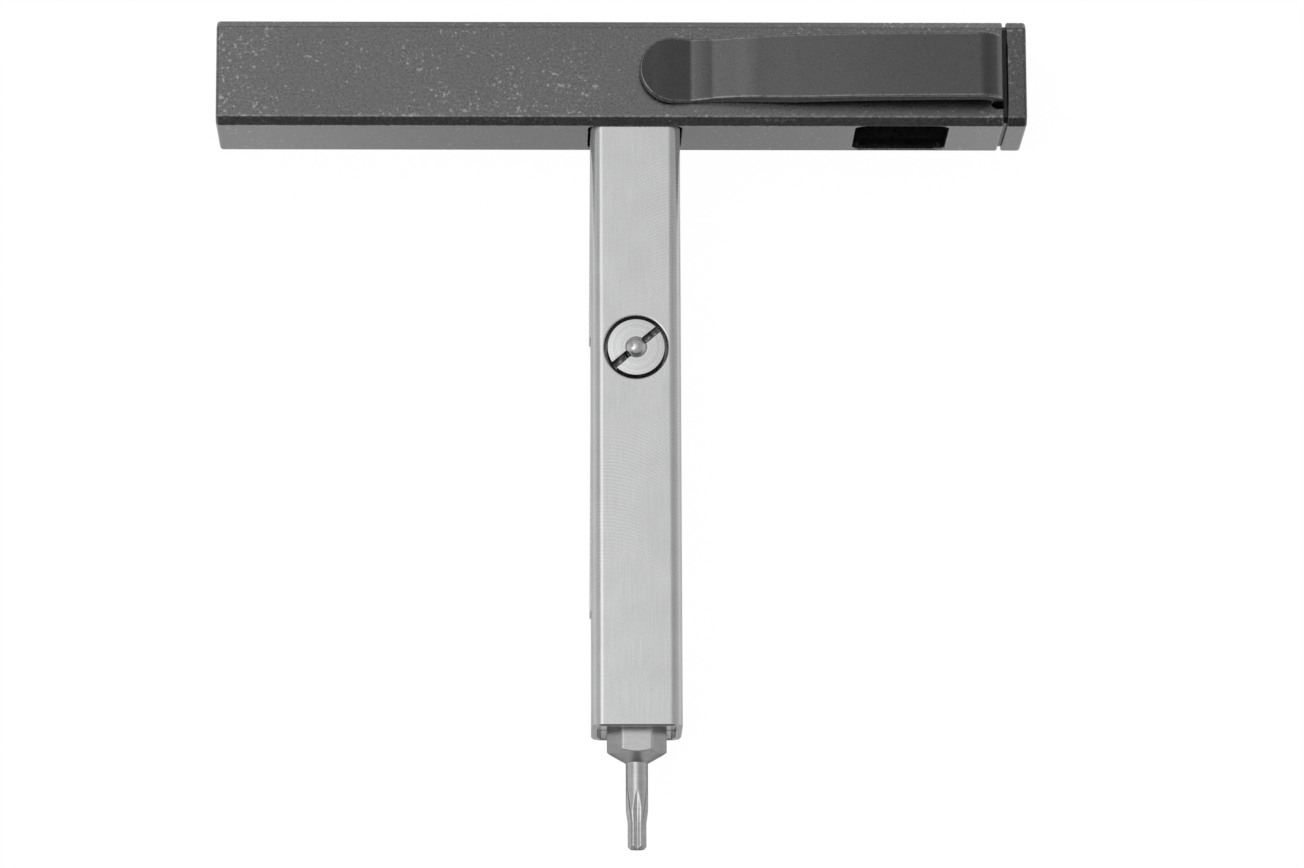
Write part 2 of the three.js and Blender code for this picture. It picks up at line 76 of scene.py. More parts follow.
class Value:
    """A shader socket that takes part in Python arithmetic."""

    def __init__(self, graph: "Graph", socket: bpy.types.NodeSocket) -> None:
        """Keeps the socket and the graph that it belongs to."""
        self.graph = graph
        self.socket = socket

    def __add__(self, other: "Operand") -> "Value":
        """Sum with a number or another socket."""
        return self.graph.math("ADD", self, other)

    __radd__ = __add__

    def __sub__(self, other: "Operand") -> "Value":
        """Difference, this one first."""
        return self.graph.math("SUBTRACT", self, other)

    def __rsub__(self, other: "Operand") -> "Value":
        """Difference, the other one first."""
        return self.graph.math("SUBTRACT", other, self)

    def __mul__(self, other: "Operand") -> "Value":
        """Product with a number or another socket."""
        return self.graph.math("MULTIPLY", self, other)

    __rmul__ = __mul__

    def __truediv__(self, other: "Operand") -> "Value":
        """Quotient, this one first."""
        return self.graph.math("DIVIDE", self, other)

    def __neg__(self) -> "Value":
        """The value with its sign turned."""
        return self.graph.math("MULTIPLY", self, -1.0)

    def __abs__(self) -> "Value":
        """Absolute value."""
        return self.graph.math("ABSOLUTE", self)


Operand = Value | float | Sequence[float]


class Graph:
    """A node tree that grows by expressions."""

    def __init__(self, tree: bpy.types.NodeTree) -> None:
        """Empties the tree and keeps it."""
        self.tree = tree
        tree.nodes.clear()

    def node(
        self,
        kind: str,
        settings: Mapping[str, object] | None = None,
        sockets: Mapping[str | int, Operand] | None = None,
    ) -> bpy.types.Node:
        """Adds one node.

        Args:
            kind: The node's type, such as ShaderNodeMath.
            settings: Properties of the node, set first.
            sockets: Values or links of its input sockets, by name or number.

        Returns:
            The new node.
        """
        made = self.tree.nodes.new(kind)
        for name, setting in (settings or {}).items():
            setattr(made, name, setting)
        for name, operand in (sockets or {}).items():
            if isinstance(operand, Value):
                self.tree.links.new(operand.socket, made.inputs[name])
            else:
                made.inputs[name].default_value = operand
        return made

    def output(self, node: bpy.types.Node, name: str | int = 0) -> Value:
        """One output of a node as a value."""
        return Value(self, node.outputs[name])

    def math(self, operation: str, *operands: Operand) -> Value:
        """A Math node on numbers and sockets."""
        return self.output(self.node("ShaderNodeMath", {"operation": operation}, dict(enumerate(operands))))

    def ramp(self, operand: Operand, low: float, high: float) -> Value:
        """Smooth step of a value: 0 at low, 1 at high, level at both."""
        settings = {"interpolation_type": "SMOOTHSTEP"}
        return self.output(self.node("ShaderNodeMapRange", settings, {0: operand, 1: low, 2: high}))

    def mix(self, factor: Operand, first: Operand, second: Operand) -> Value:
        """A colour between two others."""
        sockets = {0: factor, 6: opaque(first), 7: opaque(second)}
        return self.output(self.node("ShaderNodeMix", {"data_type": "RGBA"}, sockets), 2)

    def point(self) -> Value:
        """Object coordinates."""
        return self.output(self.node("ShaderNodeTexCoord"), "Object")

    def parts(self, vector: Value) -> tuple[Value, Value, Value]:
        """The three numbers of a vector."""
        node = self.node("ShaderNodeSeparateXYZ", sockets={0: vector})
        return self.output(node, 0), self.output(node, 1), self.output(node, 2)

    def stretched(self, vector: Value, scale: Sequence[float], turn: Sequence[float] = (0, 0, 0)) -> Value:
        """A vector turned and then scaled axis by axis."""
        turned = self.output(self.node("ShaderNodeMapping", sockets={"Vector": vector, "Rotation": turn}))
        return self.output(self.node("ShaderNodeMapping", sockets={"Vector": turned, "Scale": scale}))

    def noise(self, vector: Value, scale: float, detail: float = 2.0) -> Value:
        """Cloudy noise from 0 to 1, one half on average."""
        sockets = {"Vector": vector, "Scale": scale, "Detail": detail}
        return self.output(self.node("ShaderNodeTexNoise", sockets=sockets), 0)

    def dots(self, vector: Value, scale: float, fade: Span, chance: Span) -> Value:
        """Scattered soft dots, one in the middle of some of the cells of a net.

        Args:
            vector: Coordinates.
            scale: Cells to a unit of length.
            fade: Distances from a cell's middle between which its dot fades.
            chance: Numbers between which a cell's random number brings in its dot.

        Returns:
            1 on a dot, 0 elsewhere.
        """
        cells = self.node("ShaderNodeTexVoronoi", sockets={"Vector": vector, "Scale": scale})
        drawn, _, _ = self.parts(self.output(cells, "Color"))
        return (1 - self.ramp(self.output(cells, "Distance"), *fade)) * self.ramp(drawn, *chance)

    def swing(self, middle: float, *noises: tuple[Value, float]) -> Value:
        """A number plus a share of each noise's step from one half."""
        steps = [(noise - 0.5) * share for noise, share in noises]
        return reduce(partial(self.math, "ADD"), steps, middle)

    def most(self, *operands: Operand) -> Value:
        """The greatest of two or more numbers."""
        return reduce(partial(self.math, "MAXIMUM"), operands)

    def least(self, *operands: Operand) -> Value:
        """The least of two or more numbers."""
        return reduce(partial(self.math, "MINIMUM"), operands)

    def length(self, *operands: Operand) -> Value:
        """Square root of the sum of the squares of two or more numbers."""
        squares = [self.math("MULTIPLY", operand, operand) for operand in operands]
        return self.math("SQRT", reduce(partial(self.math, "ADD"), squares))

    def wave(self, phase: Value) -> Value:
        """Sine of a phase that is counted in turns."""
        return self.math("SINE", phase * (2 * math.pi))


def opaque(colour: Operand) -> Operand:
    """A colour with full alpha, or a socket as it is."""
    return colour if isinstance(colour, Value) else (*colour, 1.0)


def grey(level: float, warmth: float = 0.0) -> Colour:
    """A grey of a linear level, a little warmer or cooler than neutral."""
    return (level * (1 + warmth), level, level * (1 - warmth))


def node_material(name: str) -> tuple[bpy.types.Material, Graph]:
    """A new material of nodes.

    Args:
        name: The material's name.

    Returns:
        The material and its graph, which is still empty.
    """
    made = bpy.data.materials.new(name)
    made.use_nodes = True
    return made, Graph(made.node_tree)


# Finishes


@dataclass(frozen=True)
class Mark:
    """A mark on a metal: how strongly it shows, and its share of the metal's own grey."""

    strength: float
    share: float


@dataclass(frozen=True)
class Metal:
    """What every finish of the driver has: a bare metal with a pattern of its own.

    Sizes are in metres and the ends of a ramp over a distance in millimetres. The scale of a noise is in cells
    to a metre.
    """

    level: float = 0.5
    roughness: float = 0.4
    edge_tint: float = 1.0
    bump_depth: float = 0.02 * MM
    coolness: float = 0.004

    def tint(self, share: float) -> Colour:
        """The metal's grey, lightened or darkened by a share."""
        return grey(self.level * share, -self.coolness)

    def between(self, graph: Graph, factor: Value, shares: Span) -> Value:
        """A grey between two shares of the metal's own."""
        return graph.mix(factor, self.tint(shares[0]), self.tint(shares[1]))

    def marked(self, graph: Graph, colour: Value, marks: Sequence[tuple[Value, Mark]]) -> Value:
        """Lays marks over a colour.

        Args:
            graph: The material's node tree.
            colour: What lies under the marks.
            marks: Where each mark is, from 0 to 1, and the mark itself, the lowest first.

        Returns:
            The colour with its marks.
        """
        for where, mark in marks:
            colour = graph.mix(where * mark.strength, colour, self.tint(mark.share))
        return colour

    def pattern(self, graph: Graph, point: Value) -> tuple[Value, Value, Value]:
        """The finish's pattern.

        Args:
            graph: The material's node tree.
            point: Object coordinates.

        Returns:
            Base colour, roughness and height, the height from about 0 to 1.
        """
        raise NotImplementedError

    def material(self, name: str) -> bpy.types.Material:
        """A node material of this finish.

        Args:
            name: The material's name.

        Returns:
            The material, a metallic shader with the pattern on colour, roughness and bump.
        """
        made, graph = node_material(name)
        colour, roughness, height = self.pattern(graph, graph.point())
        bump_sockets = {"Height": height, "Strength": 1.0, "Distance": self.bump_depth}
        bump = graph.output(graph.node("ShaderNodeBump", sockets=bump_sockets))
        sockets = {
            "Base Color": colour,
            "Metallic": 1.0,
            "Roughness": roughness,
            "Specular Tint": opaque(grey(self.edge_tint)),
            "Normal": bump,
        }
        shader = graph.output(graph.node("ShaderNodeBsdfPrincipled", sockets=sockets))
        graph.node("ShaderNodeOutputMaterial", sockets={"Surface": shader})
        return made


@dataclass(frozen=True)
class Stonewash(Metal):
    """Tumbled metal on a bar: fine grain, pale nicks that lie in drifts, short scratches and worn edges, with
    painted shade on its inner faces.
    """

    level: float = 0.187
    roughness: float = 0.29
    edge_tint: float = 0.92
    bump_depth: float = 0.004 * MM
    half: float = 0.0
    inner: float = 0.0
    chamfer: float = 0.0
    centre_z: float = 0.0
    ends: Span = (0.0, 0.0)
    windows: tuple[float, ...] = ()
    window_size: Triple = (0.0, 0.0, 0.0)
    grain_scale: float = 3600
    grain_shares: Span = (0.3, 1.7)
    grain_rough: float = 0.10
    cloud_scale: float = 330
    cloud_span: Span = (0.3, 0.7)
    cloud_rough: float = 0.08
    cloud_mark: Mark = Mark(0.25, 1.12)
    drift_scale: float = 105
    drift_span: Span = (0.38, 0.62)
    edge_drift: float = 0.06
    edge_reach: Span = (0.2, 2.4)
    lower_reach: Span = (0.02, 0.4)
    lower_share: float = 0.25
    nick_scale: float = 1900
    nick_span: Span = (0.655, 0.725)
    nick_drift: float = 0.068
    nick_mark: Mark = Mark(0.75, 2.5)
    speck_scale: float = 4400
    speck_mark: Mark = Mark(0.5, 2.125)
    scratch_turns: Triple = (0.5, 1.9, 2.8)
    scratch_scale: Triple = (420, 7200, 2500)
    scratch_span: Span = (0.70, 0.80)
    scratch_mark: Mark = Mark(0.4, 1.6)
    worn_reach: Span = (0.06, 0.30)
    worn_span: Span = (0.36, 0.62)
    worn_rough: float = 0.05
    worn_mark: Mark = Mark(0.75, 1.875)
    # Painted shade on the inner faces, for the shade that falls in the bore and on the cap's neck: where it ends
    # along X, how fast it fades and how dark it is.
    shade_end: float = math.inf
    shade_fade: float = 0.15
    painted_shade_mark: Mark = Mark(1.0, 0.9)

    def edge_distance(self, graph: Graph, point: Value) -> Value:
        """Distance to the nearest edge that wears.

        Args:
            graph: The material's node tree.
            point: Object coordinates.

        Returns:
            Distance to a long edge of the bar's cut lower corners, or to a rim of an end or a window.
        """
        x, y, z = graph.parts(point)
        up = abs(z - self.centre_z)
        near = self.half - self.chamfer
        inward = self.half - graph.most(abs(y), up)
        edges = [graph.length(y + self.half, up - near), graph.length(y + near, up - self.half)]
        edges += [graph.length(x - end, inward) for end in self.ends]
        edges += [self.rim_distance(graph, x - middle, y, up) for middle in self.windows]
        return graph.least(*edges)

    def rim_distance(self, graph: Graph, x: Value, y: Value, up: Value) -> Value:
        """Distance to the rim of a window in the lower wall.

        Across the wall's face it is the length of the steps past the corner's middle, less the corner's
        radius.

        Args:
            graph: The material's node tree.
            x: Place along the bar, from the window's middle.
            y: Place across the bar, the lower wall's face at -half.
            up: Distance from the bar's middle along Z.

        Returns:
            The distance.
        """
        wide, deep, radius = self.window_size
        past_x = graph.most(abs(x) - (wide / 2 - radius), 0.0)
        past_up = graph.most(up - (deep / 2 - radius), 0.0)
        return graph.length(graph.length(past_x, past_up) - radius, y + self.half)

    def pattern(self, graph: Graph, point: Value) -> tuple[Value, Value, Value]:
        """Grain and clouds under scratches, specks, worn edges and nicks, with painted shade over all on the inner
        faces.

        Args:
            graph: The material's node tree.
            point: Object coordinates.

        Returns:
            Base colour, roughness and height.
        """
        grain = graph.noise(point, self.grain_scale, detail=3)
        cloud = graph.noise(point, self.cloud_scale)
        edge = self.edge_distance(graph, point) / MM
        near_edge = 1 - graph.ramp(edge, *self.edge_reach)
        drift = graph.noise(point, self.drift_scale) + near_edge * self.edge_drift
        drift = graph.ramp(drift, *self.drift_span) * self.struck(graph, point)
        nicks = self.nicks(graph, point, self.nick_scale, drift)
        specks = self.nicks(graph, point, self.speck_scale, drift)
        scratches = self.scratches(graph, point)
        worn = 1 - graph.ramp(edge, *self.worn_reach)
        worn = worn * graph.ramp(graph.noise(point, self.nick_scale, detail=3), *self.worn_span)
        colour = self.marked(graph, self.between(graph, grain, self.grain_shares), (
            (graph.ramp(cloud, *self.cloud_span), self.cloud_mark),
            (scratches, self.scratch_mark),
            (specks, self.speck_mark),
            (worn, self.worn_mark),
            (nicks, self.nick_mark),
            # Painted shade: the inner faces are darkened for the shade that falls in them.
            (self.inside(graph, point), self.painted_shade_mark),
        ))
        roughness = graph.swing(self.roughness, (cloud, self.cloud_rough), (grain, self.grain_rough))
        height = (grain + graph.most(nicks, specks, scratches)) / 2
        return colour, roughness - worn * self.worn_rough, height

    def inside(self, graph: Graph, point: Value) -> Value:
        """Where shade is painted on the bar's inner faces.

        Args:
            graph: The material's node tree.
            point: Object coordinates.

        Returns:
            1 in the bore or on the neck, and 0 on the outside.
        """
        x, y, z = graph.parts(point)
        out = graph.most(abs(y), abs(z - self.centre_z)) - self.inner
        shaded = 1 - graph.ramp(out / MM, 0.0, self.shade_fade)
        return shaded if math.isinf(self.shade_end) else shaded * graph.math("LESS_THAN", x, self.shade_end)

    def nicks(self, graph: Graph, point: Value, scale: float, drift: Value) -> Value:
        """Pale ragged spots: the crests of a fine noise, more of them where they drift together."""
        crests = graph.noise(point, scale, detail=4) + drift * self.nick_drift
        return graph.ramp(crests, *self.nick_span)

    def struck(self, graph: Graph, point: Value) -> Value:
        """1 where the tumbling struck the bar, less on its lower face, which kept a smoother skin."""
        _, y, _ = graph.parts(point)
        return graph.ramp((y + self.half) / MM, *self.lower_reach) * (1 - self.lower_share) + self.lower_share

    def scratches(self, graph: Graph, point: Value) -> Value:
        """Short fine lines in three directions.

        Args:
            graph: The material's node tree.
            point: Object coordinates.

        Returns:
            1 on the lines, which are the crests of a noise that is drawn out along each direction.
        """
        lines = []
        for turn in self.scratch_turns:
            drawn = graph.stretched(point, self.scratch_scale, (0, 0, turn))
            lines.append(graph.ramp(graph.noise(drawn, 1.0, detail=1), *self.scratch_span))
        return graph.most(*lines)


@dataclass(frozen=True)
class Blasted(Metal):
    """Bead blasted metal: even fine grain with soft clouds, rubbed pale where the piece says it is worn."""

    level: float = 0.119
    roughness: float = 0.19
    bump_depth: float = 0.006 * MM
    wear: str = "wear"
    grain_scale: float = 7800
    grain_shares: Span = (0.3, 1.7)
    cloud_scale: float = 700
    cloud_span: Span = (0.3, 0.7)
    cloud_rough: float = 0.08
    cloud_mark: Mark = Mark(0.3, 1.12)
    dot_scale: float = 1500
    dot_fade: Span = (0.08, 0.2)
    dot_chance: Span = (0.9, 0.94)
    dot_mark: Mark = Mark(0.5, 1.7)
    worn_scale: float = 2100
    worn_span: Span = (0.25, 0.6)
    worn_mark: Mark = Mark(0.85, 2.1)

    def pattern(self, graph: Graph, point: Value) -> tuple[Value, Value, Value]:
        """Grain and clouds under pale dots and worn edges.

        Args:
            graph: The material's node tree.
            point: Object coordinates.

        Returns:
            Base colour, roughness and height.
        """
        grain = graph.noise(point, self.grain_scale, detail=3)
        cloud = graph.noise(point, self.cloud_scale)
        wear = graph.output(graph.node("ShaderNodeAttribute", {"attribute_name": self.wear}), "Fac")
        worn = wear * graph.ramp(graph.noise(point, self.worn_scale, detail=3), *self.worn_span)
        colour = self.marked(graph, self.between(graph, grain, self.grain_shares), (
            (graph.ramp(cloud, *self.cloud_span), self.cloud_mark),
            (graph.dots(point, self.dot_scale, self.dot_fade, self.dot_chance), self.dot_mark),
            (worn, self.worn_mark),
        ))
        return colour, graph.swing(self.roughness, (cloud, self.cloud_rough)), grain


@dataclass(frozen=True)
class Milled(Metal):
    """Satin steel with the faint arcs of a face mill, crossing in patches, and a few dark nicks."""

    level: float = 0.74
    roughness: float = 0.26
    bump_depth: float = 0.004 * MM
    centre_z: float = 0.0
    inner: float = 0.0
    nose: float = 0.0
    cutter_radius: float = 12.5 * MM
    cutter_offset: float = -3.5 * MM
    upper_radius: float = 16.0 * MM
    upper_offset: float = 9.0 * MM
    upper_from: float = -30.0 * MM
    lower_to: float = -66.0 * MM
    pass_fade: Span = (-5.0, 5.0)
    feed: float = 0.44 * MM
    wobble_scale: float = 400
    wobble: float = 0.5
    patch_scale: float = 130
    patch_span: Span = (0.40, 0.62)
    ripple_shade: float = 0.16
    ripple_rough: float = 0.012
    ripple_height: float = 0.3
    grain_scale: float = 5200
    grain_shade: float = 0.6
    drawn_scale: Triple = (4200, 160, 4200)
    drawn_shade: float = 0.45
    drawn_height: float = 0.4
    cloud_scale: float = 260
    cloud_shade: float = 0.5
    cloud_rough: float = 0.06
    shares: Span = (0.85, 1.15)
    dark_scale: float = 420
    dark_fade: Span = (0.05, 0.12)
    dark_chance: Span = (0.93, 0.95)
    dark_mark: Mark = Mark(0.5, 0.55)
    mouth_rim: Span = (0.1, 0.2)
    mouth_depth: float = 0.2
    # Painted light that brightens the shaded walls of the mouth.
    painted_mouth_light: Mark = Mark(1.0, 1.3)

    def arcs(self, graph: Graph, point: Value, radius: float, offset: float) -> Value:
        """Ripples of a round cutter that moves along Y: sine of (y - sqrt(r^2 - (u - offset)^2)) / feed.

        u runs across each face of the bar: x + z is x plus a constant on the front and z plus one on the
        sides.

        Args:
            graph: The material's node tree.
            point: Object coordinates.
            radius: Radius of the cutter.
            offset: Place of the cutter's path across the face.

        Returns:
            Height of the ripples, from -1 to 1.
        """
        x, y, z = graph.parts(point)
        across = x + (z - self.centre_z - self.inner) - offset
        drop = graph.math("SQRT", graph.most(radius**2 - across * across, 0.0))
        return graph.wave((y - drop) / self.feed + graph.noise(point, self.wobble_scale) * self.wobble)

    def mouth(self, graph: Graph, point: Value) -> Value:
        """Where light is painted on the walls of the tube's mouth, in the recess before the core's end.

        Args:
            graph: The material's node tree.
            point: Object coordinates.

        Returns:
            1 inside the mouth, and 0 elsewhere.
        """
        x, y, z = graph.parts(point)
        out = graph.most(abs(x), abs(z - self.centre_z)) - self.inner
        within = 1 - graph.ramp(out / MM, *self.mouth_rim)
        return within * (1 - graph.ramp((y - self.nose) / MM, 0.0, self.mouth_depth))

    def pattern(self, graph: Graph, point: Value) -> tuple[Value, Value, Value]:
        """Arcs of two passes over drawn grain and clouds, with dark nicks and painted light in the mouth.

        Args:
            graph: The material's node tree.
            point: Object coordinates.

        Returns:
            Base colour, roughness and height.
        """
        lower = self.arcs(graph, point, self.cutter_radius, self.cutter_offset)
        upper = self.arcs(graph, point, self.upper_radius, self.upper_offset)
        _, y, _ = graph.parts(point)
        above = graph.ramp((y - self.upper_from) / MM, *self.pass_fade)
        lower = lower * graph.ramp((y - self.lower_to) / MM, *self.pass_fade)
        patches = graph.ramp(graph.noise(point, self.patch_scale), *self.patch_span)
        ripple = (lower + (upper - lower) * above) * patches
        grain = graph.noise(point, self.grain_scale)
        drawn = graph.noise(graph.stretched(point, self.drawn_scale), 1.0)
        cloud = graph.noise(point, self.cloud_scale)
        noises = ((grain, self.grain_shade), (drawn, self.drawn_shade), (cloud, self.cloud_shade))
        shade = graph.swing(0.5, *noises) + ripple * self.ripple_shade
        colour = self.between(graph, shade, self.shares)
        colour = self.marked(graph, colour, (
            (graph.dots(point, self.dark_scale, self.dark_fade, self.dark_chance), self.dark_mark),
            # Painted light on the mouth's walls, which lie in the shade of the recess.
            (self.mouth(graph, point), self.painted_mouth_light),
        ))
        roughness = graph.swing(self.roughness, (cloud, self.cloud_rough)) + ripple * self.ripple_rough
        return colour, roughness, graph.swing(0.5, (drawn, self.drawn_height)) + ripple * self.ripple_height


@dataclass(frozen=True)
class Turned(Metal):
    """Blackened steel whose face is turned bright: rings about an axis along Z, and a dark rest."""

    level: float = 0.84
    roughness: float = 0.27
    bump_depth: float = 0.005 * MM
    axis: Span = (0.0, 0.0)
    face: float = 0.0
    feed: float = 0.17 * MM
    wobble_scale: float = 500
    wobble: float = 0.5
    ring_shade: float = 0.2
    ring_height: float = 0.4
    band_scale: float = 3800
    band_shade: float = 2.0
    band_rough: float = 0.08
    grain_scale: float = 4800
    grain_shade: float = 0.6
    shares: Span = (0.84, 1.12)
    below_reach: Span = (-0.11, -0.04)
    below_rough: float = 0.12
    scuff_scale: float = 1800
    scuff_span: Span = (0.46, 0.72)
    black_shares: Span = (0.12, 0.6)

    def pattern(self, graph: Graph, point: Value) -> tuple[Value, Value, Value]:
        """Rings and bands on the face, scuffed black below it.

        Args:
            graph: The material's node tree.
            point: Object coordinates.

        Returns:
            Base colour, roughness and height.
        """
        x, y, z = graph.parts(point)
        below = 1 - graph.ramp((z - self.face) / MM, *self.below_reach)
        radius = graph.length(x - self.axis[0], y - self.axis[1])
        rings = graph.wave(radius / self.feed + graph.noise(point, self.wobble_scale) * self.wobble)
        around = graph.node("ShaderNodeCombineXYZ", sockets={0: radius * self.band_scale})
        bands = graph.noise(graph.output(around), 1.0, detail=2)
        grain = graph.noise(point, self.grain_scale)
        noises = ((bands, self.band_shade), (grain, self.grain_shade))
        shade = graph.swing(0.5, *noises) + rings * self.ring_shade
        scuffs = graph.ramp(graph.noise(point, self.scuff_scale, detail=3), *self.scuff_span)
        bright = self.between(graph, shade, self.shares)
        colour = graph.mix(below, bright, self.between(graph, scuffs, self.black_shares))
        roughness = graph.swing(self.roughness, (bands, self.band_rough)) + below * self.below_rough
        return colour, roughness, 0.5 + rings * self.ring_height


@dataclass(frozen=True)
class Ground(Metal):
    """Hardened tool steel, ground round the bit's length, a little mottled by heat."""

    level: float = 0.65
    roughness: float = 0.29
    edge_tint: float = 0.5
    bump_depth: float = 0.006 * MM
    ring_scale: Triple = (350, 6500, 350)
    ring_shade: float = 0.9
    ring_height: float = 0.6
    mottle_scale: float = 900
    mottle_shade: float = 0.7
    mottle_rough: float = 0.12
    grain_scale: float = 6000
    grain_shade: float = 0.4
    shares: Span = (0.82, 1.18)

    def pattern(self, graph: Graph, point: Value) -> tuple[Value, Value, Value]:
        """Rings about Y, mottling and grain.

        Args:
            graph: The material's node tree.
            point: Object coordinates.

        Returns:
            Base colour, roughness and height.
        """
        rings = graph.noise(graph.stretched(point, self.ring_scale), 1.0, detail=2)
        mottle = graph.noise(point, self.mottle_scale, detail=3)
        grain = graph.noise(point, self.grain_scale)
        noises = ((rings, self.ring_shade), (mottle, self.mottle_shade), (grain, self.grain_shade))
        shade = graph.swing(0.5, *noises)
        roughness = graph.swing(self.roughness, (mottle, self.mottle_rough))
        height = rings * self.ring_height + grain * (1 - self.ring_height)
        return self.between(graph, shade, self.shares), roughness, height


@dataclass(frozen=True)
class Faced(Ground):
    """Dull ground steel whose end face, at the low end of Y, is lightened almost to white as painted light in the
    nose's recess, with a strip of painted shade along its back edge.
    """

    level: float = 0.30
    roughness: float = 0.34
    edge_tint: float = 1.0
    centre_z: float = 0.0
    half: float = 0.0
    end: float = 0.0
    face_reach: Span = (0.05, 0.15)
    rim_reach: Span = (-0.25, -0.15)
    # Painted shade in a strip along the end face's back edge, and painted light on the rest of the face.
    painted_rim_shade: Mark = Mark(1.0, 0.2)
    painted_face_light: Mark = Mark(1.0, 3.1)

    def pattern(self, graph: Graph, point: Value) -> tuple[Value, Value, Value]:
        """The ground pattern with the end face's painted shade and painted light over it.

        Args:
            graph: The material's node tree.
            point: Object coordinates.

        Returns:
            Base colour, roughness and height.
        """
        colour, roughness, height = super().pattern(graph, point)
        _, y, z = graph.parts(point)
        inside = 1 - graph.ramp((self.centre_z - z - self.half) / MM, *self.rim_reach)
        face = 1 - graph.ramp((y - self.end) / MM, *self.face_reach)
        # The whole end face is darkened as painted shade, then all but its back strip is lightened as painted
        # light.
        marks = ((face, self.painted_rim_shade), (face * inside, self.painted_face_light))
        return self.marked(graph, colour, marks), roughness, height


@dataclass(frozen=True)
class Polished(Metal):
    """Bearing steel with the faintest of hairlines."""

    level: float = 0.72
    roughness: float = 0.2
    bump_depth: float = 0.001 * MM
    line_scale: Triple = (900, 900, 9000)
    line_turn: Triple = (0.7, 0.3, 0.0)
    line_rough: float = 0.05
    cloud_scale: float = 1500
    shares: Span = (0.96, 1.04)

    def pattern(self, graph: Graph, point: Value) -> tuple[Value, Value, Value]:
        """Clouds on the colour and hairlines on the rest.

        Args:
            graph: The material's node tree.
            point: Object coordinates.

        Returns:
            Base colour, roughness and height.
        """
        lines = graph.noise(graph.stretched(point, self.line_scale, self.line_turn), 1.0)
        colour = self.between(graph, graph.noise(point, self.cloud_scale), self.shares)
        return colour, graph.swing(self.roughness, (lines, self.line_rough)), lines


# Outlines and surfaces


class Axis(Enum):
    """The axis that a loop is carried along, with the place of an outline's two numbers and of the axis."""

    X = (1, 2, 0)
    Y = (0, 2, 1)
    Z = (0, 1, 2)


class Cut(Enum):
    """How a second solid changes a first one."""

    AWAY = "DIFFERENCE"
    JOINED = "UNION"


CORNER_STEPS = 9
QUARTER = np.linspace(0.0, math.pi / 2, 7)


def rounded(radius: float) -> list[Span]:
    """Steps round an edge: insets radius * (1 - sin t) at depths radius * (1 - cos t) from the end face."""
    return [(radius * (1 - math.sin(t)), radius * (1 - math.cos(t))) for t in QUARTER]


def smooth_step(x: np.ndarray, low: float, high: float) -> np.ndarray:
    """0 below low, 1 above high, 3 t^2 - 2 t^3 between them."""
    t = np.clip((x - low) / (high - low), 0.0, 1.0)
    return t * t * (3 - 2 * t)


def rounded_polygon(corners: np.ndarray, radius: float, steps: int) -> np.ndarray:
    """Outline of a convex polygon with round corners.

    A corner whose edges open at twice the half angle h turns into an arc about the point on its bisector at
    radius / sin(h), from one tangent point to the other, each at radius / tan(h) from the corner.

    Args:
        corners: Corners in order, one row each.
        radius: Radius of every corner.
        steps: Number of pieces in each arc.

    Returns:
        Points in order, one row each.
    """
    before = np.roll(corners, 1, axis=0) - corners
    after = np.roll(corners, -1, axis=0) - corners
    before /= np.linalg.norm(before, axis=1, keepdims=True)
    after /= np.linalg.norm(after, axis=1, keepdims=True)
    half = np.arccos(np.sum(before * after, axis=1)) / 2
    bisector = before + after
    bisector /= np.linalg.norm(bisector, axis=1, keepdims=True)
    centre = bisector * (radius / np.sin(half))[:, None]
    reach = (radius / np.tan(half))[:, None]
    first = (before * reach - centre)[:, None, :]
    last = (after * reach - centre)[:, None, :]
    sweep = (math.pi - 2 * half)[:, None, None]
    share = np.linspace(0.0, 1.0, steps + 1)[None, :, None]
    arc = (first * np.sin((1 - share) * sweep) + last * np.sin(share * sweep)) / np.sin(sweep)
    return ((corners + centre)[:, None, :] + arc).reshape(-1, 2)


def rectangle(width: float, height: float, radius: float, steps: int = CORNER_STEPS) -> np.ndarray:
    """Rectangle with round corners, centred, from its upper right corner on."""
    signs = np.array([[1, 1], [-1, 1], [-1, -1], [1, -1]], float)
    return rounded_polygon(signs * (width / 2, height / 2), radius, steps)


def cut_square(side: float, chamfer: float, radius: float) -> np.ndarray:
    """Square with cut corners whose own edges are a little round, as many points as rectangle has.

    Args:
        side: Width of the square.
        chamfer: How much of each side a cut takes off.
        radius: Radius of the cuts' edges.

    Returns:
        Points in order, one row each.
    """
    far = side / 2
    near = far - chamfer
    quarter = np.array([[far, near], [near, far]])
    turn = np.array([[0, 1], [-1, 0]])
    corners = np.vstack([quarter @ np.linalg.matrix_power(turn, k) for k in range(4)])
    return rounded_polygon(corners, radius, (CORNER_STEPS - 1) // 2)


def inset_cut_square(side: float, chamfer: float, radius: float, inset: float) -> np.ndarray:
    """The same square with all its sides moved in: its cut corners shrink by 2 - sqrt(2) times as much."""
    return cut_square(side - 2 * inset, chamfer - (2 - math.sqrt(2)) * inset, radius)


def divided(outline: np.ndarray, corners: int, pieces: int = 10) -> np.ndarray:
    """An outline with its straight sides divided into equal pieces.

    Args:
        outline: Points of a polygon with round corners, as rounded_polygon gives them.
        corners: Number of its corners.
        pieces: Number of pieces in each side.

    Returns:
        Points in order, one row each.
    """
    arcs = outline.reshape(corners, -1, 2)
    start, end = arcs[:, -1:], np.roll(arcs, -1, axis=0)[:, :1]
    share = np.linspace(0.0, 1.0, pieces + 1)[None, 1:-1, None]
    return np.concatenate([arcs, start + (end - start) * share], axis=1).reshape(-1, 2)


def circle_like(outline: np.ndarray, radius: float) -> np.ndarray:
    """Circle with its points at the same angles as an outline's."""
    return outline * (radius / np.linalg.norm(outline, axis=1, keepdims=True))


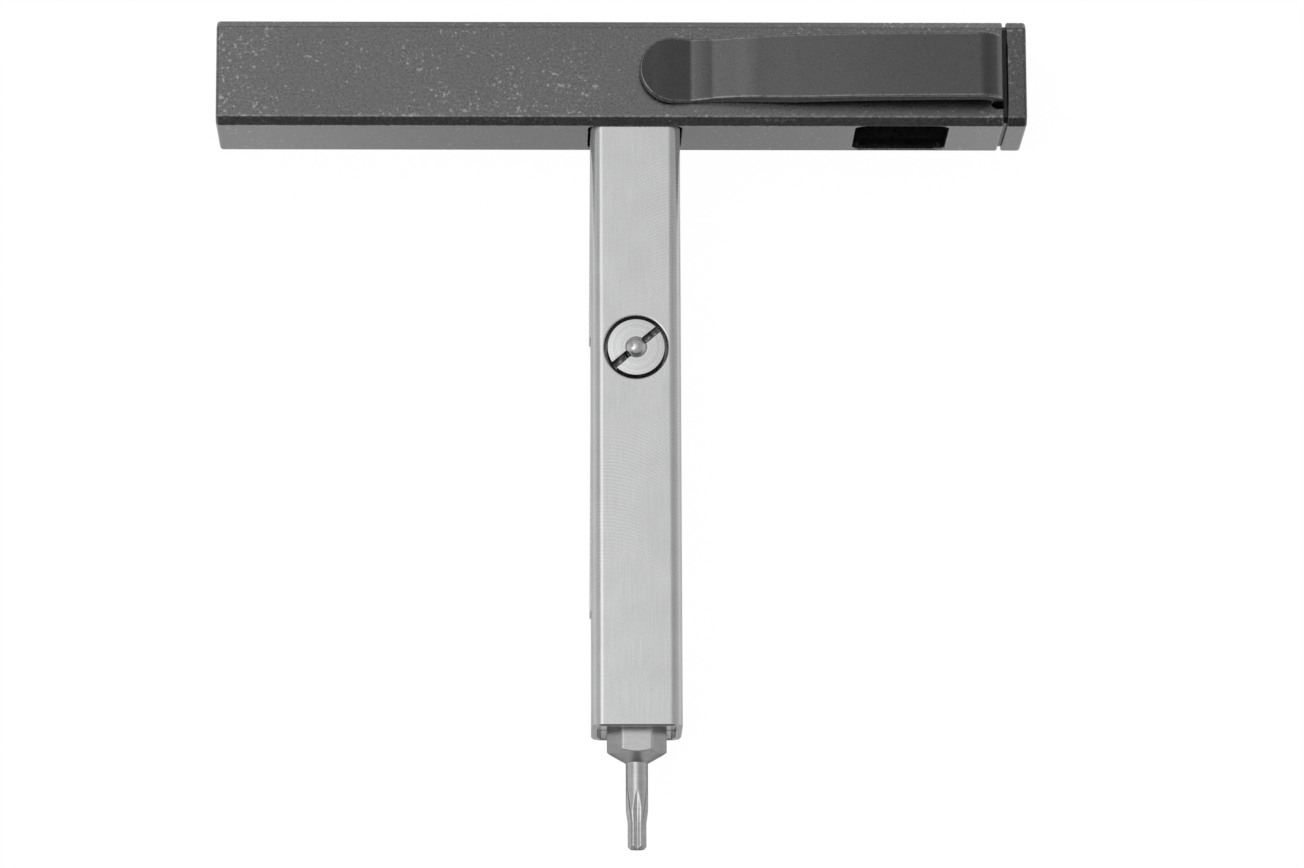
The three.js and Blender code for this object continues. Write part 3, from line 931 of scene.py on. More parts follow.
def circle(radius: float, count: int) -> np.ndarray:
    """Circle of evenly spaced points."""
    angle = np.arange(count) * (2 * math.pi / count)
    return radius * np.column_stack([np.cos(angle), np.sin(angle)])


def loop(outline: np.ndarray, axis: Axis, at: float, centre: Sequence[float] = (0.0, 0.0)) -> np.ndarray:
    """An outline placed in space, square to an axis.

    Args:
        outline: Points, two numbers each.
        axis: The axis that the outline faces.
        at: Place along that axis.
        centre: Where the outline's middle goes, in its own two numbers.

    Returns:
        Points, three numbers each.
    """
    first, second, along = axis.value
    placed = np.empty((len(outline), 3))
    placed[:, first] = outline[:, 0] + centre[0]
    placed[:, second] = outline[:, 1] + centre[1]
    placed[:, along] = at
    return placed


class Ends(Enum):
    """What happens at the first and the last loop of a surface."""

    CLOSED = "a flat face on each"
    JOINED = "one joined to the other"
    OPEN = "nothing"


def skin(name: str, loops: Sequence[np.ndarray], ends: Ends = Ends.CLOSED) -> bpy.types.Object:
    """A surface over a row of loops of equally many points.

    Point j of loop i is joined to point j + 1 and to point j of loop i + 1. The faces are turned round if the
    volume, one sixth of the sum of a . (b x c) over the triangles, comes out negative.

    Args:
        name: The object's name.
        loops: The loops in order.
        ends: What closes the first and the last loop.

    Returns:
        A new object in the scene.
    """
    points = np.vstack(loops)
    index = np.arange(len(points)).reshape(len(loops), -1)
    rows = np.vstack([index, index[:1]]) if ends is Ends.JOINED else index
    here, there = rows[:-1], rows[1:]
    quads = np.stack([here, np.roll(here, -1, 1), np.roll(there, -1, 1), there], axis=-1).reshape(-1, 4)
    lids = [index[0][::-1], index[-1]] if ends is Ends.CLOSED else []
    volume = sum(fan_volume(points, face) for face in lids) + np.sum(
        [np.einsum("ij,ij->i", points[quads[:, 0]], np.cross(points[quads[:, k]], points[quads[:, k + 1]]))
         for k in (1, 2)]
    )
    faces = quads.tolist() + [face.tolist() for face in lids]
    if volume < 0:
        faces = [face[::-1] for face in faces]
    mesh = bpy.data.meshes.new(name)
    mesh.from_pydata(points.tolist(), [], faces)
    mesh.validate()
    made = bpy.data.objects.new(name, mesh)
    bpy.context.scene.collection.objects.link(made)
    return made


def fan_volume(points: np.ndarray, face: np.ndarray) -> float:
    """Six times the volume between the origin and a flat face, from the triangles of a fan."""
    fan = points[face]
    return float(np.sum(fan[0] * np.cross(fan[1:-1], fan[2:])))


def carve(body: bpy.types.Object, tools: Sequence[bpy.types.Object], how: Cut = Cut.AWAY) -> None:
    """Cuts solids out of a body, or joins them to it, and removes them.

    Args:
        body: The object that is changed.
        tools: Closed objects that are used up.
        how: Cut away or joined.
    """
    for tool in tools:
        cut = body.modifiers.new("cut", "BOOLEAN")
        cut.operation = how.value
        cut.solver = "EXACT"
        cut.object = tool
    settle(body)
    for tool in tools:
        mesh = tool.data
        bpy.data.objects.remove(tool)
        bpy.data.meshes.remove(mesh)


def weld(piece: bpy.types.Object, distance: float = 0.002 * MM) -> None:
    """Merges points that lie on each other, which closes a pole or a seam.

    Args:
        piece: The object that is changed.
        distance: How near to each other the points are.
    """
    merge = piece.modifiers.new("weld", "WELD")
    merge.merge_threshold = distance
    settle(piece)


def settle(piece: bpy.types.Object) -> None:
    """Takes an object's modifiers into its mesh.

    Args:
        piece: The object that is changed.
    """
    bpy.context.view_layer.update()
    shaped = bpy.data.meshes.new_from_object(piece.evaluated_get(bpy.context.evaluated_depsgraph_get()))
    plain = piece.data
    piece.modifiers.clear()
    piece.data = shaped
    bpy.data.meshes.remove(plain)


def opening(
    outline: Callable[[float], np.ndarray],
    axis: Axis,
    inner: float,
    outer: float,
    edge: float,
    centre: Sequence[float],
) -> bpy.types.Object:
    """A tool for a hole whose rim is round: it widens by edge * (1 - cos t) as it rises to the surface.

    Args:
        outline: Gives the hole's outline, widened by a length.
        axis: The axis of the hole.
        inner: Where the tool starts, inside the material's far side.
        outer: The surface that the rim lies on.
        edge: Radius of the rim.
        centre: The hole's middle, in the outline's two numbers.

    Returns:
        The tool, which runs on past the surface.
    """
    out = math.copysign(1.0, outer - inner)
    rim = [loop(outline(wider), axis, outer - out * depth, centre) for depth, wider in rounded(edge)]
    past = loop(outline(edge), axis, outer + out * MM, centre)
    return skin("tool", [loop(outline(0.0), axis, inner, centre), *rim, past])


SHARP_ANGLE = math.radians(38)


def dress(piece: bpy.types.Object, node: str, body: str, finish: Metal) -> bpy.types.Object:
    """Smooths a new piece, gives it its finish and puts it in place of its CAD node.

    Args:
        piece: The new object.
        node: The CAD node that it stands for.
        body: The body that it moves with.
        finish: Its finish.

    Returns:
        The piece.
    """
    piece.data.shade_smooth()
    piece.data.set_sharp_from_angle(angle=SHARP_ANGLE)
    level = piece.modifiers.new("level_faces", "WEIGHTED_NORMAL")
    level.keep_sharp = True
    piece.data.materials.clear()
    piece.data.materials.append(finish.material(f"{node}_finish"))
    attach(piece, body)
    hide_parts(node)
    slot_of(node)
    LOG.info("%s: %d faces, rides on %s", piece.name, len(piece.data.polygons), body)
    return piece


def keep(node: str, finish: Metal) -> None:
    """Gives a CAD node that stays in the picture its finish.

    Args:
        node: The CAD node.
        finish: Its finish.
    """
    held = frame["nodes"][node]
    held.data.materials.clear()
    held.data.materials.append(finish.material(f"{node}_finish"))
    slot_of(node)
    LOG.info("%s: CAD node, dressed", node)


def slot_of(node: str) -> str:
    """The record's material slot of a node."""
    return next(part["material_slot"] for part in frame["record"]["subparts"] if part["node"] == node)


# The handle


@dataclass
class Handle:
    """Sleeve, end block, cap and screw. Lengths in metres."""

    wall: float = 1.0 * MM
    chamfer: float = 0.93 * MM
    edge: float = 0.2 * MM
    end_round: float = 0.45 * MM
    cap_end_round: float = 0.2 * MM
    bore_radius: float = 0.6 * MM
    back_rim: float = 0.05 * MM
    window_width: float = 11.508 * MM
    window_depth: float = 11.208 * MM
    window_radius: float = 1.4 * MM
    window_spacing: float = 33.0 * MM
    window_rim: float = 0.26 * MM
    notch_reach: float = 1.65 * MM
    notch_width: float = 9.2 * MM
    notch_radius: float = 1.0 * MM
    notch_rim: float = 0.1 * MM
    cap_neck: float = 0.4 * MM
    cap_inset: float = 0.5 * MM
    cap_round: float = 0.4 * MM
    cap_lip: float = 0.25 * MM
    cap_level: float = 0.142
    # Painted shade on the cap's neck, down in the groove between sleeve and flange.
    neck_shade_mark: Mark = Mark(1.0, 0.3)
    hole: float = 1.65 * MM
    sink: float = 3.0 * MM
    head_sunk: float = 0.1 * MM
    head: float = 2.85 * MM
    shank: float = 1.5 * MM
    point: float = 0.3 * MM
    key: float = 2.0 * MM
    key_depth: float = 1.1 * MM
    rim_round: float = 0.06 * MM
    low: np.ndarray = field(init=False)
    high: np.ndarray = field(init=False)
    side: float = field(init=False)
    bore: float = field(init=False)
    centre: Span = field(init=False)

    def __post_init__(self) -> None:
        """Takes the sleeve's place and width from the frame."""
        self.low, self.high = np.array(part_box("sleeve"))
        self.side = self.high[1] - self.low[1]
        self.bore = self.side - 2 * self.wall
        self.centre = (0.0, self.side / 2)

    def finish(self, ends: Span) -> Stonewash:
        """The tumbled finish with its worn edges on a bar of the sleeve's section."""
        half, inner = self.side / 2, self.bore / 2
        return Stonewash(half=half, inner=inner, chamfer=self.chamfer, centre_z=self.centre[1], ends=ends)

    def outside(self, x: float, inset: float) -> np.ndarray:
        """The sleeve's outline at a place along it, moved in by a length."""
        return loop(inset_cut_square(self.side, self.chamfer, self.edge, inset), Axis.X, x, self.centre)

    def inside(self, x: float, outset: float) -> np.ndarray:
        """The bore's outline at a place along it, moved out by a length."""
        wide = self.bore + 2 * outset
        return loop(rectangle(wide, wide, self.bore_radius + outset), Axis.X, x, self.centre)

    def sleeve(self) -> None:
        """Square tube: outside from the open end to the cap, back through the bore, then its openings."""
        start, end = self.low[0], self.high[0]
        mouth = rounded(self.end_round)
        loops = [self.outside(start + depth, inset) for inset, depth in mouth]
        loops += [self.outside(end - depth, inset) for inset, depth in reversed(rounded(self.cap_end_round))]
        loops += [self.inside(end - depth, outset) for outset, depth in rounded(self.back_rim)]
        loops += [self.inside(start + depth, outset) for outset, depth in reversed(mouth)]
        made = skin("sleeve_dressed", loops, Ends.JOINED)
        windows = (0.0, self.window_spacing)
        carve(made, [*[self.window(x) for x in windows], self.notch()])
        size = (self.window_width, self.window_depth, self.window_radius)
        dress(made, "sleeve", "handle", replace(self.finish((start, end)), windows=windows, window_size=size))

    def window(self, x: float) -> bpy.types.Object:
        """Tool for a window in the lower wall.

        Args:
            x: Place of the window's middle along the sleeve.

        Returns:
            The tool.
        """
        def outline(wider: float) -> np.ndarray:
            """The window, widened all round."""
            size = (self.window_width + 2 * wider, self.window_depth + 2 * wider)
            return rectangle(*size, self.window_radius + wider)

        centre = (x, self.centre[1])
        return opening(outline, Axis.Y, -self.bore / 2 + MM, -self.side / 2, self.window_rim, centre)

    def notch(self) -> bpy.types.Object:
        """Tool for the notch that the clip's foot comes through.

        Returns:
            The tool.
        """
        def outline(wider: float) -> np.ndarray:
            """The notch and its mirror image past the sleeve's end, widened all round."""
            size = (2 * (self.notch_reach + wider), self.notch_width + 2 * wider)
            return rectangle(*size, self.notch_radius + wider)

        top = self.centre[1] + self.side / 2
        inner = self.centre[1] + self.bore / 2 - MM
        return opening(outline, Axis.Z, inner, top, self.notch_rim, (self.high[0], 0.0))

    def cap(self) -> None:
        """Flange on a neck, from the screw hole round the outside and down the countersink."""
        low, high = np.array(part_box("end_cap"))
        start, end = low[0], high[0]
        flange = start + self.cap_neck
        sunk = end - self.head_sunk

        def square(inset: float) -> np.ndarray:
            """The sleeve's outline, moved in by a length, with points along its sides."""
            return divided(inset_cut_square(self.side, self.chamfer, self.edge, inset), corners=8)

        def square_loop(x: float, inset: float) -> np.ndarray:
            """That outline at a place along the cap."""
            return loop(square(inset), Axis.X, x, self.centre)

        def round_loop(x: float, radius: float) -> np.ndarray:
            """A circle at a place along the cap."""
            return loop(circle_like(square(0.0), radius), Axis.X, x, self.centre)

        loops = [round_loop(start, self.hole), square_loop(start, self.cap_inset)]
        loops += [square_loop(flange, self.cap_inset)]
        loops += [square_loop(flange + depth, inset) for inset, depth in rounded(self.cap_lip)]
        loops += [square_loop(end - depth, inset) for inset, depth in reversed(rounded(self.cap_round))]
        loops += [round_loop(end, self.sink + self.rim_round), round_loop(end - self.rim_round, self.sink)]
        loops += [round_loop(sunk, self.sink), round_loop(sunk - (self.sink - self.hole), self.hole)]
        made = skin("end_cap_dressed", loops, Ends.JOINED)
        neck = self.side / 2 - self.cap_inset
        finish = replace(self.finish((start, end)), level=self.cap_level, edge_tint=1.0, inner=neck)
        # The neck is darkened much more than the bore: painted shade in the groove.
        dress(made, "end_cap", "handle", replace(finish, painted_shade_mark=self.neck_shade_mark, shade_end=flange))

    def screw(self) -> None:
        """Countersunk screw from its point up its cone to the face and down the hexagonal key hole."""
        low, high = np.array(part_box("cap_screw"))
        end, face = low[0], high[0]
        corner = self.key / math.sqrt(3)
        key = divided(rounded_polygon(circle(corner, 6), self.rim_round, CORNER_STEPS), corners=6)

        def round_loop(x: float, radius: float) -> np.ndarray:
            """A circle at a place along the screw."""
            return loop(circle_like(key, radius), Axis.X, x, self.centre)

        loops = [
            round_loop(end, self.shank - self.point),
            round_loop(end + self.point, self.shank),
            round_loop(face - (self.head - self.shank), self.shank),
            round_loop(face - self.rim_round, self.head),
            round_loop(face, self.head - self.rim_round),
            round_loop(face, corner + self.rim_round),
            loop(key, Axis.X, face - self.rim_round, self.centre),
            loop(key, Axis.X, face - self.key_depth, self.centre),
        ]
        dress(skin("cap_screw_dressed", loops), "cap_screw", "handle", Ground(level=0.06, roughness=0.42))

    def build(self) -> None:
        """Makes and dresses the handle's pieces, apart from the clip."""
        self.sleeve()
        self.cap()
        self.screw()
        keep("end_block", Ground(level=0.12, roughness=0.5))


@dataclass
class Clip:
    """Milled pocket clip: a strip carried along the line of its under-side. Lengths in metres."""

    thickness: float = 2.3 * MM
    taper: float = 0.5 * MM
    tip_thickness: float = 0.75 * MM
    foot_thickness: float = 1.6 * MM
    waist_width: float = 7.75 * MM
    width: float = 8.3 * MM
    tip_radius: float = 4.1 * MM
    waist: float = 10.0 * MM
    full: float = 23.0 * MM
    edge: float = 0.18 * MM
    edge_share: float = 0.3
    under_edge: float = 0.12 * MM
    tip_lift: float = 1.15 * MM
    contact: float = 6.4 * MM
    contact_gap: float = 0.1 * MM
    rise: float = 14.5 * MM
    rise_gap: float = 0.35 * MM
    root_gap: float = 2.275 * MM
    bend_radius: float = 1.35 * MM
    hole: float = 1.65 * MM
    hole_reach: float = 3.0 * MM
    tip_swell: float = 0.2 * MM
    crease: float = 0.15 * MM
    steep_length: float = 2.7 * MM
    steep_slope: float = 0.288
    ease_length: float = 2.7 * MM
    ease_slope: float = 0.179
    worn_width: float = 0.24 * MM
    worn_fade: float = 0.11 * MM
    edge_steps: int = 7
    knot_points: int = 60
    bend_points: int = 40
    tip_points: int = 48
    arm_points: int = 260
    hole_points: int = 48
    crease_points: int = 15

    def under_side(self) -> np.ndarray:
        """Line of the under-side in X and Z, from the tip along the arm, round the bend and down the foot.

        The arm is a uniform Catmull-Rom curve: between points b and c it is the cubic that leaves b along
        (c - a) / 2 and reaches c along (d - b) / 2, with the end points standing in for their own neighbours.

        Returns:
            Points in order, one row each.
        """
        low, high = np.array(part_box("pocket_clip"))
        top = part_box("sleeve")[1][2]
        tip = low[0]
        foot = high[0] - self.foot_thickness
        bend = foot - self.bend_radius
        middle = ((tip + self.rise + bend) / 2, top + (self.rise_gap + 2 * self.root_gap) / 3)
        knots = np.array([
            (tip, top + self.tip_lift),
            (tip + self.contact, top + self.contact_gap),
            (tip + self.rise, top + self.rise_gap),
            middle,
            (bend, top + self.root_gap),
        ])
        ends = np.vstack([knots[:1], knots, knots[-1:]])
        a, b, c, d = (ends[k : k + len(knots) - 1, None, :] for k in range(4))
        t = np.linspace(0.0, 1.0, self.knot_points)[None, :, None]
        leave, reach = (c - a) / 2, (d - b) / 2
        cubic = 2 * b - 2 * c + leave + reach
        square = 3 * c - 3 * b - 2 * leave - reach
        arm = cubic * t**3 + square * t**2 + leave * t + b
        arm = np.vstack([arm[:, :-1].reshape(-1, 2), knots[-1:]])
        angle = np.linspace(math.pi / 2, 0.0, self.bend_points)[1:]
        turn = np.column_stack([np.cos(angle), np.sin(angle)]) * self.bend_radius
        turn += (bend, top + self.root_gap - self.bend_radius)
        return np.vstack([arm, turn, [(foot, low[2])]])

    def half_width(self, from_tip: np.ndarray) -> np.ndarray:
        """Half the strip's width: a round tip, a waist and a slow widening to the arm.

        Args:
            from_tip: Distances from the tip along X.

        Returns:
            Half the width at each place.
        """
        narrow = smooth_step(from_tip, self.tip_radius, self.waist)
        wider = smooth_step(from_tip, self.waist, self.full)
        wide = self.tip_radius + (self.waist_width / 2 - self.tip_radius) * narrow
        wide = wide + (self.width - self.waist_width) / 2 * wider
        inset = np.maximum(self.tip_radius - from_tip, 0.0)
        return np.minimum(wide, np.sqrt(self.tip_radius**2 - inset**2))

    def thickness_at(self, from_tip: np.ndarray, turned: np.ndarray) -> np.ndarray:
        """The strip's thickness, averaged over a short way so that the crease at the contact point is soft.

        Up to that point it swells a little. After it come a steep and an easier slope and a run-out that ends
        level, the share 2 t - t^2 of what is left to the full thickness. The arm then grows thinner, and the
        bend again.

        Args:
            from_tip: Distances from the tip along X.
            turned: How far each place is round the bend, from 0 to 1.

        Returns:
            Thickness at each place.
        """
        spread = from_tip[:, None] + np.linspace(-self.crease, self.crease, self.crease_points)
        swell = self.tip_swell * np.sin(np.clip(spread / self.contact, 0.0, 1.0) * math.pi)
        past = spread - self.contact
        growth = self.steep_slope * np.clip(past, 0.0, self.steep_length)
        past = past - self.steep_length
        growth += self.ease_slope * np.clip(past, 0.0, self.ease_length)
        rest = self.thickness - self.tip_thickness
        rest -= self.steep_slope * self.steep_length + self.ease_slope * self.ease_length
        share = np.clip((past - self.ease_length) * self.ease_slope / (2 * rest), 0.0, 1.0)
        arm = self.tip_thickness + swell + growth + rest * (2 * share - share**2)
        thinner = self.taper * np.clip((from_tip - self.rise) / (from_tip[-1] - self.rise), 0.0, 1.0)
        falls = self.foot_thickness - (self.thickness - self.taper)
        return arm.mean(axis=1) - thinner + falls * smooth_step(turned, 0.0, 1.0)

    def section(self, thickness: np.ndarray) -> tuple[np.ndarray, np.ndarray]:
        """Right half of the strip's sections, from beside the worn edge round the upper and the lower edge.

        A round edge has insets edge * (1 - sin t) at depths edge * (1 - cos t).

        Args:
            thickness: The strip's thickness at each station.

        Returns:
            How far in from the outline and how high over the under-side each point lies, one row for a
            station.
        """
        count = len(thickness)
        edge = np.minimum(self.edge, thickness * self.edge_share)[:, None]
        quarter = np.linspace(0.0, math.pi / 2, self.edge_steps + 1)
        worn = np.broadcast_to([self.worn_width + self.worn_fade, self.worn_width], (count, 2))
        upper_inset = np.concatenate([worn, edge * (1 - np.sin(quarter))], axis=1)
        upper_rise = thickness[:, None] - np.concatenate([0 * worn, edge * (1 - np.cos(quarter))], axis=1)
        lower_inset = np.tile(self.under_edge * (1 - np.sin(quarter[::-1])), (count, 1))
        lower_rise = np.tile(self.under_edge * (1 - np.cos(quarter[::-1])), (count, 1))
        inset = np.concatenate([upper_inset, lower_inset], axis=1)
        return inset, np.concatenate([upper_rise, lower_rise], axis=1)

    def rings(self, line: np.ndarray) -> np.ndarray:
        """The strip's sections along the line of its under-side.

        At each station the outline's point (s, half width) is moved in along the outline's own normal by the
        section's inset, so that the round edge runs at one width round the tip as well.

        Args:
            line: Points of the under-side, X and Z of each.

        Returns:
            A ring of points for each station.
        """
        steps = np.linalg.norm(np.diff(line, axis=0), axis=1)
        along = np.concatenate([[0.0], np.cumsum(steps)])
        tangent = np.gradient(line, along, axis=0)
        tangent /= np.linalg.norm(tangent, axis=1, keepdims=True)
        tip_turn = np.linspace(0.0, math.pi / 2, self.tip_points)
        tip_stations = self.tip_radius * (1 - np.cos(tip_turn))
        arm_stations = np.linspace(self.tip_radius, along[-1], self.arm_points)[1:]
        stations = np.concatenate([tip_stations, arm_stations])
        from_tip = np.interp(stations, along, line[:, 0]) - line[0, 0]
        half = self.half_width(from_tip)
        slope = np.gradient(half[self.tip_points :], arm_stations)
        normal_s = np.concatenate([-np.cos(tip_turn), -slope / np.hypot(1.0, slope)])
        normal_y = np.concatenate([np.sin(tip_turn), 1 / np.hypot(1.0, slope)])
        bend_start = line[:, 0].max() - self.bend_radius - line[0, 0]
        lean = -np.interp(stations, along, tangent[:, 1])
        turned = np.where(from_tip > bend_start, np.arcsin(np.clip(lean, 0.0, 1.0)) / (math.pi / 2), 0.0)
        inset, rise = self.section(self.thickness_at(from_tip, turned))
        station = np.clip(stations[:, None] - normal_s[:, None] * inset, 0.0, along[-1])
        side = np.maximum(half[:, None] - normal_y[:, None] * inset, 0.0)
        x, z, t_x, t_z = (np.interp(station, along, row) for row in (*line.T, *tangent.T))
        right = np.stack([x - t_z * rise, side, z + t_x * rise], axis=-1)
        left = right[:, ::-1] * (1, -1, 1)
        return np.concatenate([right, left], axis=1)

    def build(self) -> None:
        """Carries the section along the under-side, bores the foot and dresses the clip."""
        line = self.under_side()
        made = skin("pocket_clip_dressed", list(self.rings(line)))
        weld(made)
        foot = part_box("pocket_clip")[1][0]
        centre = (0.0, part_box("sleeve")[1][2] / 2)
        outline = circle(self.hole, self.hole_points)
        hole = [loop(outline, Axis.X, foot + at, centre) for at in (-self.hole_reach, MM)]
        carve(made, [skin("tool", hole)])
        finish = Blasted()
        self.wear(made, finish.wear, line[0, 0])
        dress(made, "pocket_clip", "handle", finish)

    def wear(self, piece: bpy.types.Object, name: str, tip: float) -> None:
        """Marks the strip's edges as worn: 1 on its outline and beside it, falling to 0 over a short way.

        Args:
            piece: The clip.
            name: Name of the attribute.
            tip: X of the clip's tip.
        """
        mesh = piece.data
        points = np.empty(len(mesh.vertices) * 3, dtype=np.float32)
        mesh.vertices.foreach_get("co", points)
        x, y, _ = points.reshape(-1, 3).T
        from_tip = np.maximum(x - tip, 0.0)
        straight = self.half_width(np.maximum(from_tip, self.tip_radius)) - np.abs(y)
        inset = self.tip_radius - np.hypot(from_tip - self.tip_radius, y)
        inward = np.where(from_tip > self.tip_radius, straight, inset)
        past = (inward - self.worn_width) / self.worn_fade
        values = np.clip(1 - past, 0.0, 1.0).astype(np.float32)
        mesh.attributes.new(name, "FLOAT", "POINT").data.foreach_set("value", values)


# The stem


@dataclass
class Stem:
    """Square tube with its spring tongues, and the core and magnets inside it. Lengths in metres."""

    wall: float = 0.7 * MM
    bore: float = 9.608 * MM
    bore_radius: float = 0.6 * MM
    corner: float = 1.5 * MM
    end_cut: float = 0.2 * MM
    bore_cut: float = 0.16 * MM
    plug_hole: float = 3.88 * MM
    plug_rim: float = 0.27 * MM
    plug_points: int = 96
    tongue_width: float = 5.0 * MM
    tongue_slit: float = 0.45 * MM
    tongue_spring: float = 0.2 * MM
    tongue_nose: float = 14.6 * MM
    tongue_tail: float = 10.4 * MM
    tongue_web: float = 6.4 * MM
    gap_depth: float = 0.84 * MM
    low: np.ndarray = field(init=False)
    high: np.ndarray = field(init=False)
    side: float = field(init=False)
    centre: Span = field(init=False)

    def __post_init__(self) -> None:
        """Takes the tube's place and width from the frame."""
        self.low, self.high = np.array(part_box("stem_tube"))
        self.side = self.high[2] - self.low[2]
        self.centre = (0.0, (self.low[2] + self.high[2]) / 2)

    def outside(self, y: float, inset: float) -> np.ndarray:
        """The tube's outline at a place along it, moved in by a length."""
        wide = self.side - 2 * inset
        return loop(rectangle(wide, wide, self.corner - inset), Axis.Y, y, self.centre)

    def inside(self, y: float, outset: float) -> np.ndarray:
        """The tube's bore at a place along it, moved out by a length."""
        wide = self.bore + 2 * outset
        return loop(rectangle(wide, wide, self.bore_radius + outset), Axis.Y, y, self.centre)

    def plug_outline(self, wider: float) -> np.ndarray:
        """The hole round the detent's plug, widened all round."""
        return circle(self.plug_hole + wider, self.plug_points)

    def tube(self) -> bpy.types.Object:
        """Square tube: outside from the nose to the tail, back through the bore, then its hole and tongues.

        Returns:
            The tube, which isn't dressed yet.
        """
        nose, tail = self.low[1], self.high[1]
        loops = [self.outside(nose, self.end_cut), self.outside(nose + self.end_cut, 0.0)]
        loops += [self.outside(tail - self.end_cut, 0.0), self.outside(tail, self.end_cut)]
        loops += [self.inside(tail, self.bore_cut), self.inside(tail - self.bore_cut, 0.0)]
        loops += [self.inside(nose + self.bore_cut, 0.0), self.inside(nose, self.bore_cut)]
        made = skin("stem_tube_dressed", loops, Ends.JOINED)
        x, y, _ = np.array(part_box("detent_plug")).mean(axis=0)
        hole = opening(self.plug_outline, Axis.Z, self.centre[1], self.high[2], self.plug_rim, (x, y))
        spans = self.tongue_spans()
        carve(made, [hole, *[self.tongue_gap(span) for span in spans]])
        carve(made, [self.tongue(span) for span in spans], Cut.JOINED)
        return made

    def tongue_spans(self) -> list[Span]:
        """Where the two tongues lie along the tube.

        Returns:
            For each its free end, nearer the nose, and its root.
        """
        nose, tail = self.low[1], self.high[1]
        length = (tail - nose - self.tongue_nose - self.tongue_tail - self.tongue_web) / 2
        starts = (nose + self.tongue_nose, nose + self.tongue_nose + length + self.tongue_web)
        return [(start, start + length) for start in starts]

    def tongue_gap(self, span: Span) -> bpy.types.Object:
        """Tool for the window in the left wall that a tongue lies in.

        Args:
            span: The tongue's free end and its root.

        Returns:
            The tool.
        """
        free, root = span
        size = (root - free + self.tongue_slit, self.tongue_width + 2 * self.tongue_slit)
        outline = rectangle(*size, self.tongue_slit)
        centre = ((root + free - self.tongue_slit) / 2, self.centre[1])
        places = (-self.side / 2 - MM, -self.side / 2 + self.gap_depth)
        return skin("tool", [loop(outline, Axis.X, x, centre) for x in places])

    def tongue(self, span: Span) -> bpy.types.Object:
        """A tongue: a strip of the wall's thickness that leans outwards from its root to its free end.

        Args:
            span: Its free end and its root.

        Returns:
            The strip.
        """
        free, root = span
        outer = -self.side / 2
        outline = np.array([
            (outer, root + self.wall),
            (outer, root),
            (outer - self.tongue_spring, free),
            (outer - self.tongue_spring + self.wall, free),
            (outer + self.wall, root),
            (outer + self.wall, root + self.wall),
        ])
        half = self.tongue_width / 2
        return skin("tongue", [loop(outline, Axis.Z, self.centre[1] + z) for z in (-half, half)])

    def build(self) -> None:
        """Makes and dresses the stem's fixed pieces."""
        low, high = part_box("stem_core")
        centre_z = self.centre[1]
        dress(self.tube(), "stem_tube", "stem", Milled(centre_z=centre_z, inner=self.bore / 2, nose=low[1]))
        keep("stem_core", Faced(centre_z=centre_z, half=high[0], end=low[1]))
        for magnet in ("socket_magnet", "store_magnet"):
            keep(magnet, Ground(level=0.42, roughness=0.25))


